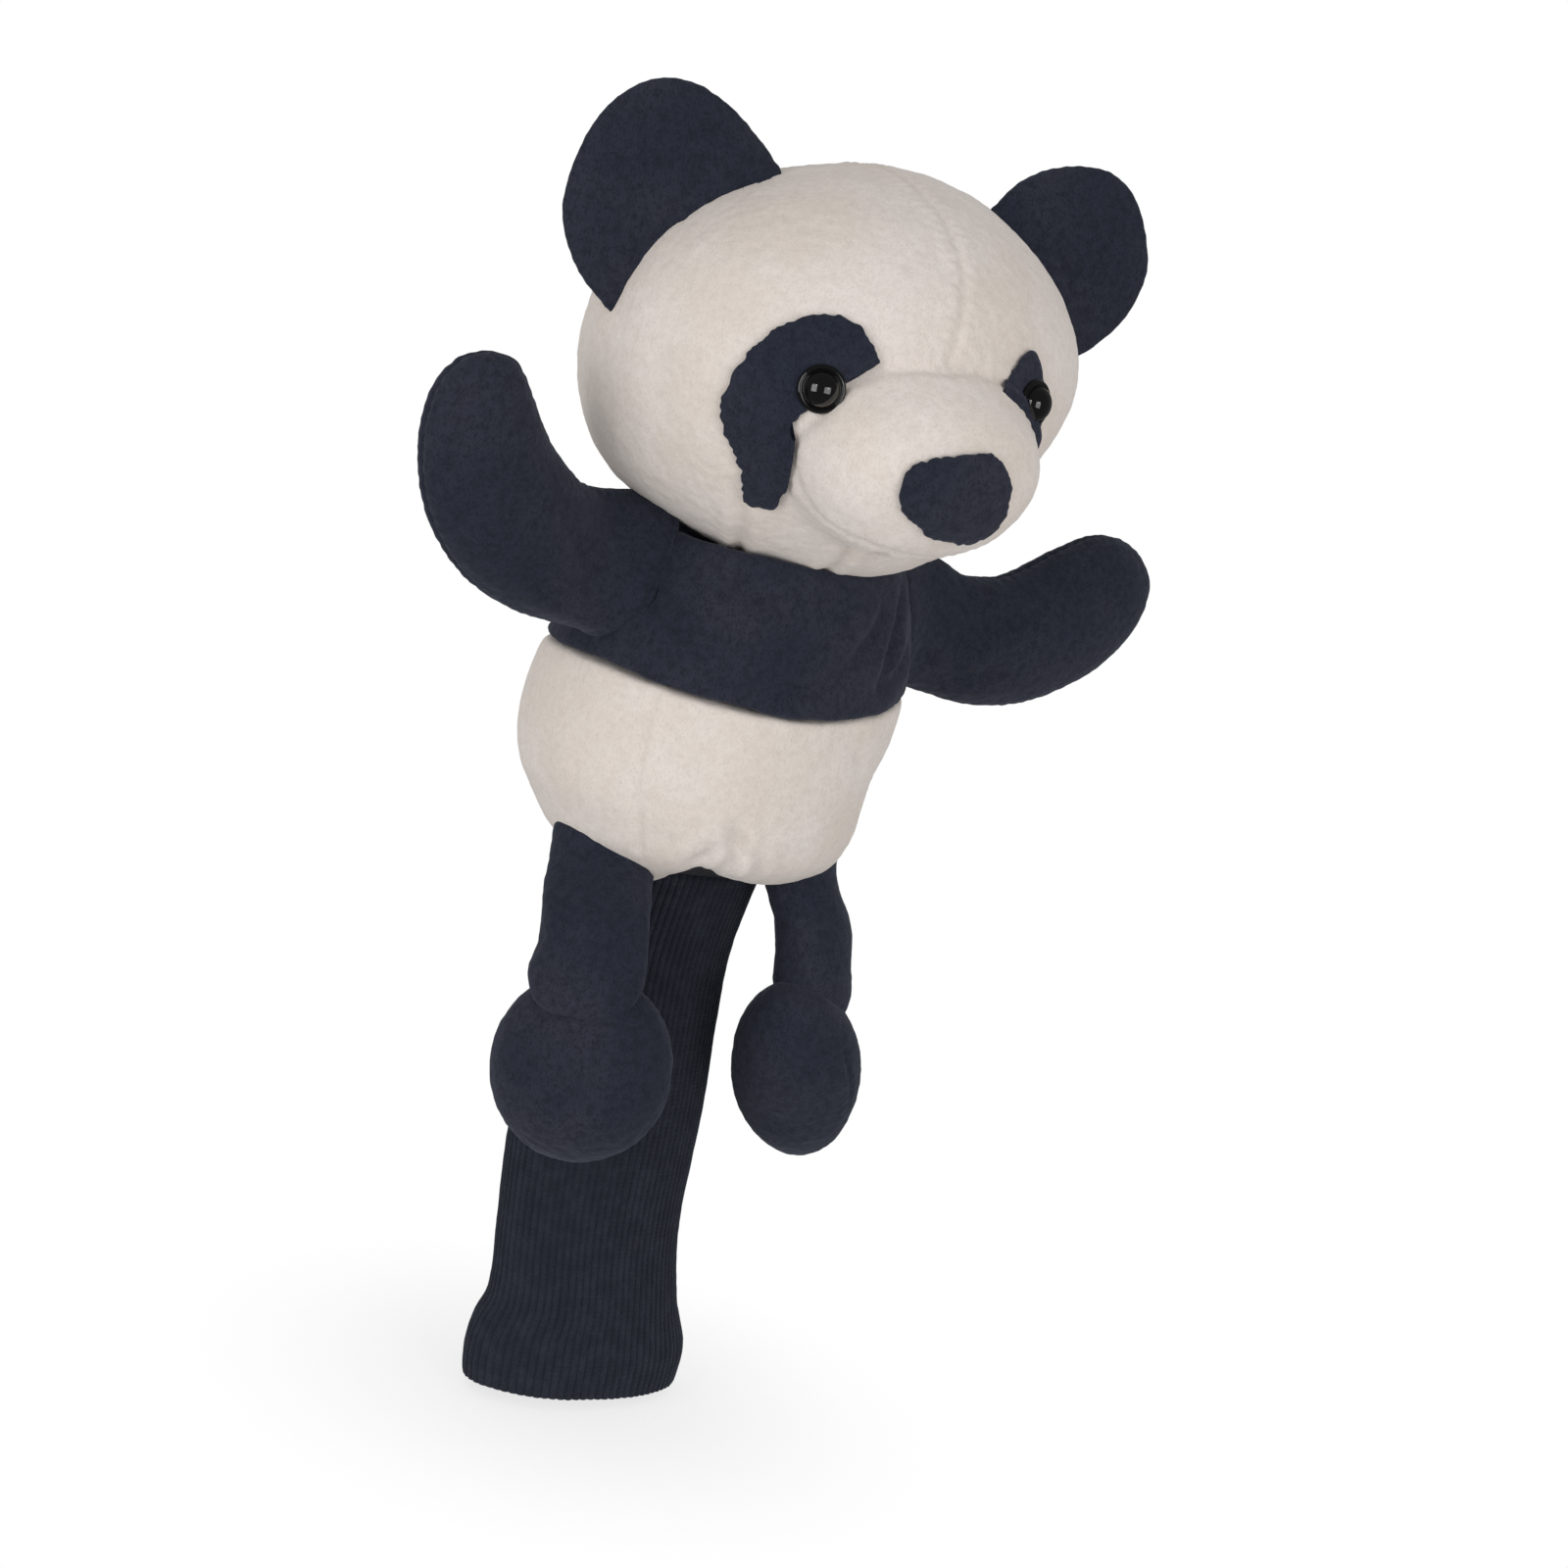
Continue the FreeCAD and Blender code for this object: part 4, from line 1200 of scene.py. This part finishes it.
RIB_POINTS = 8
KNIT_THICK = 3.0


def even_ellipse(count, wide, deep):
    """Turns that space points evenly round an ellipse."""
    fine = np.linspace(0, 2 * math.pi, 721)
    step = np.hypot(np.diff(wide * np.cos(fine)), np.diff(deep * np.sin(fine)))
    along = np.concatenate([[0], np.cumsum(step)])
    return np.interp(np.linspace(0, along[-1], count, endpoint=False), along, fine)


def sock_ring(height, inset, ribs):
    """One round of the sock, drawn in by the inset, with ribs so deep."""
    around = RIBS * RIB_POINTS
    full, flare, sway = table(SOCK_STATIONS, height / HEM)[0]
    half = SOCK_HALF * full + (CUFF_HALF - SOCK_HALF) * flare - inset
    turn = even_ellipse(around, *half)
    outwards = unit(np.column_stack([np.cos(turn) / half[0], np.sin(turn) / half[1]]))
    wave = np.abs(np.sin(np.arange(around) * math.pi / RIB_POINTS)) ** 0.7
    place = np.column_stack([half[0] * np.cos(turn), half[1] * np.sin(turn)]) + SOCK_SWAY * sway
    place += outwards * (ribs * (wave - 1))[:, None]
    front = 0.5 + 0.5 * np.cos(turn - SOCK_FRONT)
    lift = (0.8 + 3.4 * front) * (1 - smooth_step(height, 2, 60))
    return np.column_stack([place, height + lift])


def make_sock():
    heights = np.concatenate([[0.9, 0.2, 0.0, 0.25, 1.1], np.linspace(3, HEM - 1, 84)])
    insets = np.concatenate([[2.2, 1.6, 0.9, 0.25, 0.0], np.zeros(84)])
    rings = [sock_ring(h, i, 1.0) for h, i in zip(heights, insets)]
    for height in np.linspace(HEM - 1, 3, 24):
        rings.append(sock_ring(height, KNIT_THICK - 0.4, 0.4))
    sock = loft("ribbed_sock", np.array(rings), joined=True)
    points = read_points(sock.data)
    sag = 0.5 * noise(points * np.array([1, 1, 0.6]), 26, 111) + 0.12 * noise(points, 2.4, 112)
    push(sock, points, sag)
    paint_piece(sock, KNIT)
    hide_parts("sock")
    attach(sock, "body")


def make_lining():
    """The pocket's cloth: up the outside, over the closed top and down the inside."""
    turn = turns(96)
    outside = [*np.linspace(0, 99, 30), 103, 106, 108.5, 110.5, 112]
    inside = [109.5, 107, 104, *np.linspace(98, 0, 30)]
    rings = [pocket_ring(turn, HEM + h, -0.1) for h in outside]
    rings += [closing_ring(turn, 8, 6, HEM + 112.8), closing_ring(turn, 8, 6, HEM + 111)]
    rings += [pocket_ring(turn, HEM + h, -1.7) for h in inside]
    bag = loft("pocket_cloth", rings, joined=True)
    points = read_points(bag.data)
    pleats = 0.5 * np.abs(noise(points * np.array([1, 1, 0.25]), 16, 121))
    outwards = unit((points + np.array([0, 14, 0])) * np.array([1, 1, 0]))
    write_points(bag, points - outwards * pleats[:, None])
    paint_piece(bag, LINING)
    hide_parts("pocket_lining")
    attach(bag, "body")


# ---- studio

AZIMUTH = math.radians(-35)
ELEVATION = math.radians(9)
ROLL = math.radians(12)
CAMERA_AIM = Vector((0.03135, -0.01972, 0.26153))
CAMERA_REACH = 1.05
LENS = 60.75
FLOOR_RADIUS = 2.2


def make_camera():
    """The camera stands low in front of the animal's right side, rolled so that the cover leans."""
    camera = bpy.data.objects.new("camera", bpy.data.cameras.new("camera"))
    bpy.context.scene.collection.objects.link(camera)
    camera.data.lens = LENS
    camera.data.clip_start = 0.01
    towards = Matrix.Rotation(AZIMUTH, 4, "Z") @ Matrix.Rotation(math.pi / 2 - ELEVATION, 4, "X")
    place = CAMERA_AIM + towards @ Vector((0, 0, CAMERA_REACH))
    camera.matrix_world = Matrix.Translation(place) @ towards @ Matrix.Rotation(ROLL, 4, "Z")
    bpy.context.scene.camera = camera


def make_floor():
    work = bmesh.new()
    bmesh.ops.create_circle(work, cap_ends=True, segments=96, radius=FLOOR_RADIUS)
    mesh = bpy.data.meshes.new("floor")
    work.to_mesh(mesh)
    work.free()
    floor = bpy.data.objects.new("floor", mesh)
    floor.location = (0, 0, -0.001)
    bpy.context.scene.collection.objects.link(floor)
    paint = Paint("floor")  # fades out away from the cover, so that only the soft shadow near it shows
    paint.set(Base_Color=(0.95, 0.95, 0.95, 1), Roughness=0.9, Specular_IOR_Level=0.0)
    away = paint.nodes.new("ShaderNodeVectorMath")
    away.operation = "LENGTH"
    paint.links.new(paint.place, away.inputs[0])
    paint.feed("Alpha", paint.ramp(away.outputs["Value"], 0.03, 0.17, 0.26, 0.0))
    mesh.materials.append(paint.material)


def make_light(name, place, aim, size, power):
    data = bpy.data.lights.new(name, "AREA")
    data.shape = "RECTANGLE"
    data.size, data.size_y = size
    data.energy = power
    light = bpy.data.objects.new(name, data)
    light.location = place
    light.rotation_euler = (Vector(aim) - Vector(place)).to_track_quat("-Z", "Y").to_euler()
    bpy.context.scene.collection.objects.link(light)


def make_studio():
    """A white surround, dimmer as a light and in reflections than in the camera's view, and four lamps."""
    world = bpy.data.worlds.new("studio")
    bpy.context.scene.world = world
    world.use_nodes = True
    nodes = world.node_tree.nodes
    links = world.node_tree.links
    glow = nodes["Background"]
    glow.inputs["Color"].default_value = (1, 1, 1, 1)
    path = nodes.new("ShaderNodeLightPath")
    strength = None
    for kind, value in (("Is Glossy Ray", 0.12), ("Is Camera Ray", 1.0)):
        level = nodes.new("ShaderNodeMix")
        level.inputs["B"].default_value = value
        links.new(path.outputs[kind], level.inputs["Factor"])
        if strength is None:
            level.inputs["A"].default_value = 0.62
        else:
            links.new(strength, level.inputs["A"])
        strength = level.outputs["Result"]
    links.new(strength, glow.inputs["Strength"])
    make_light("key", (0.0, -1.8, 0.35), (0, 0, 0.33), (1.0, 1.0), 9.2)
    make_light("side", (-1.7, -0.6, 0.35), (0, 0, 0.33), (0.9, 1.1), 11.5)
    make_light("left glint", (-1.75, -1.0, 0.9), (0, 0, 0.42), (0.10, 0.16), 0.8)
    make_light("right glint", (0.1, -2.0, 0.7), (0, 0, 0.42), (0.10, 0.16), 0.8)
    bpy.context.scene.view_settings.view_transform = "Standard"


# ---- all together

make_camera()
make_studio()
make_floor()
make_sock()
make_lining()
make_belly()
make_yoke()
make_head()
make_face()
for side in (RIGHT, LEFT):
    make_eye(side)
    make_ear(side)
    make_arm(side)
    make_leg(side)
    make_foot(side)
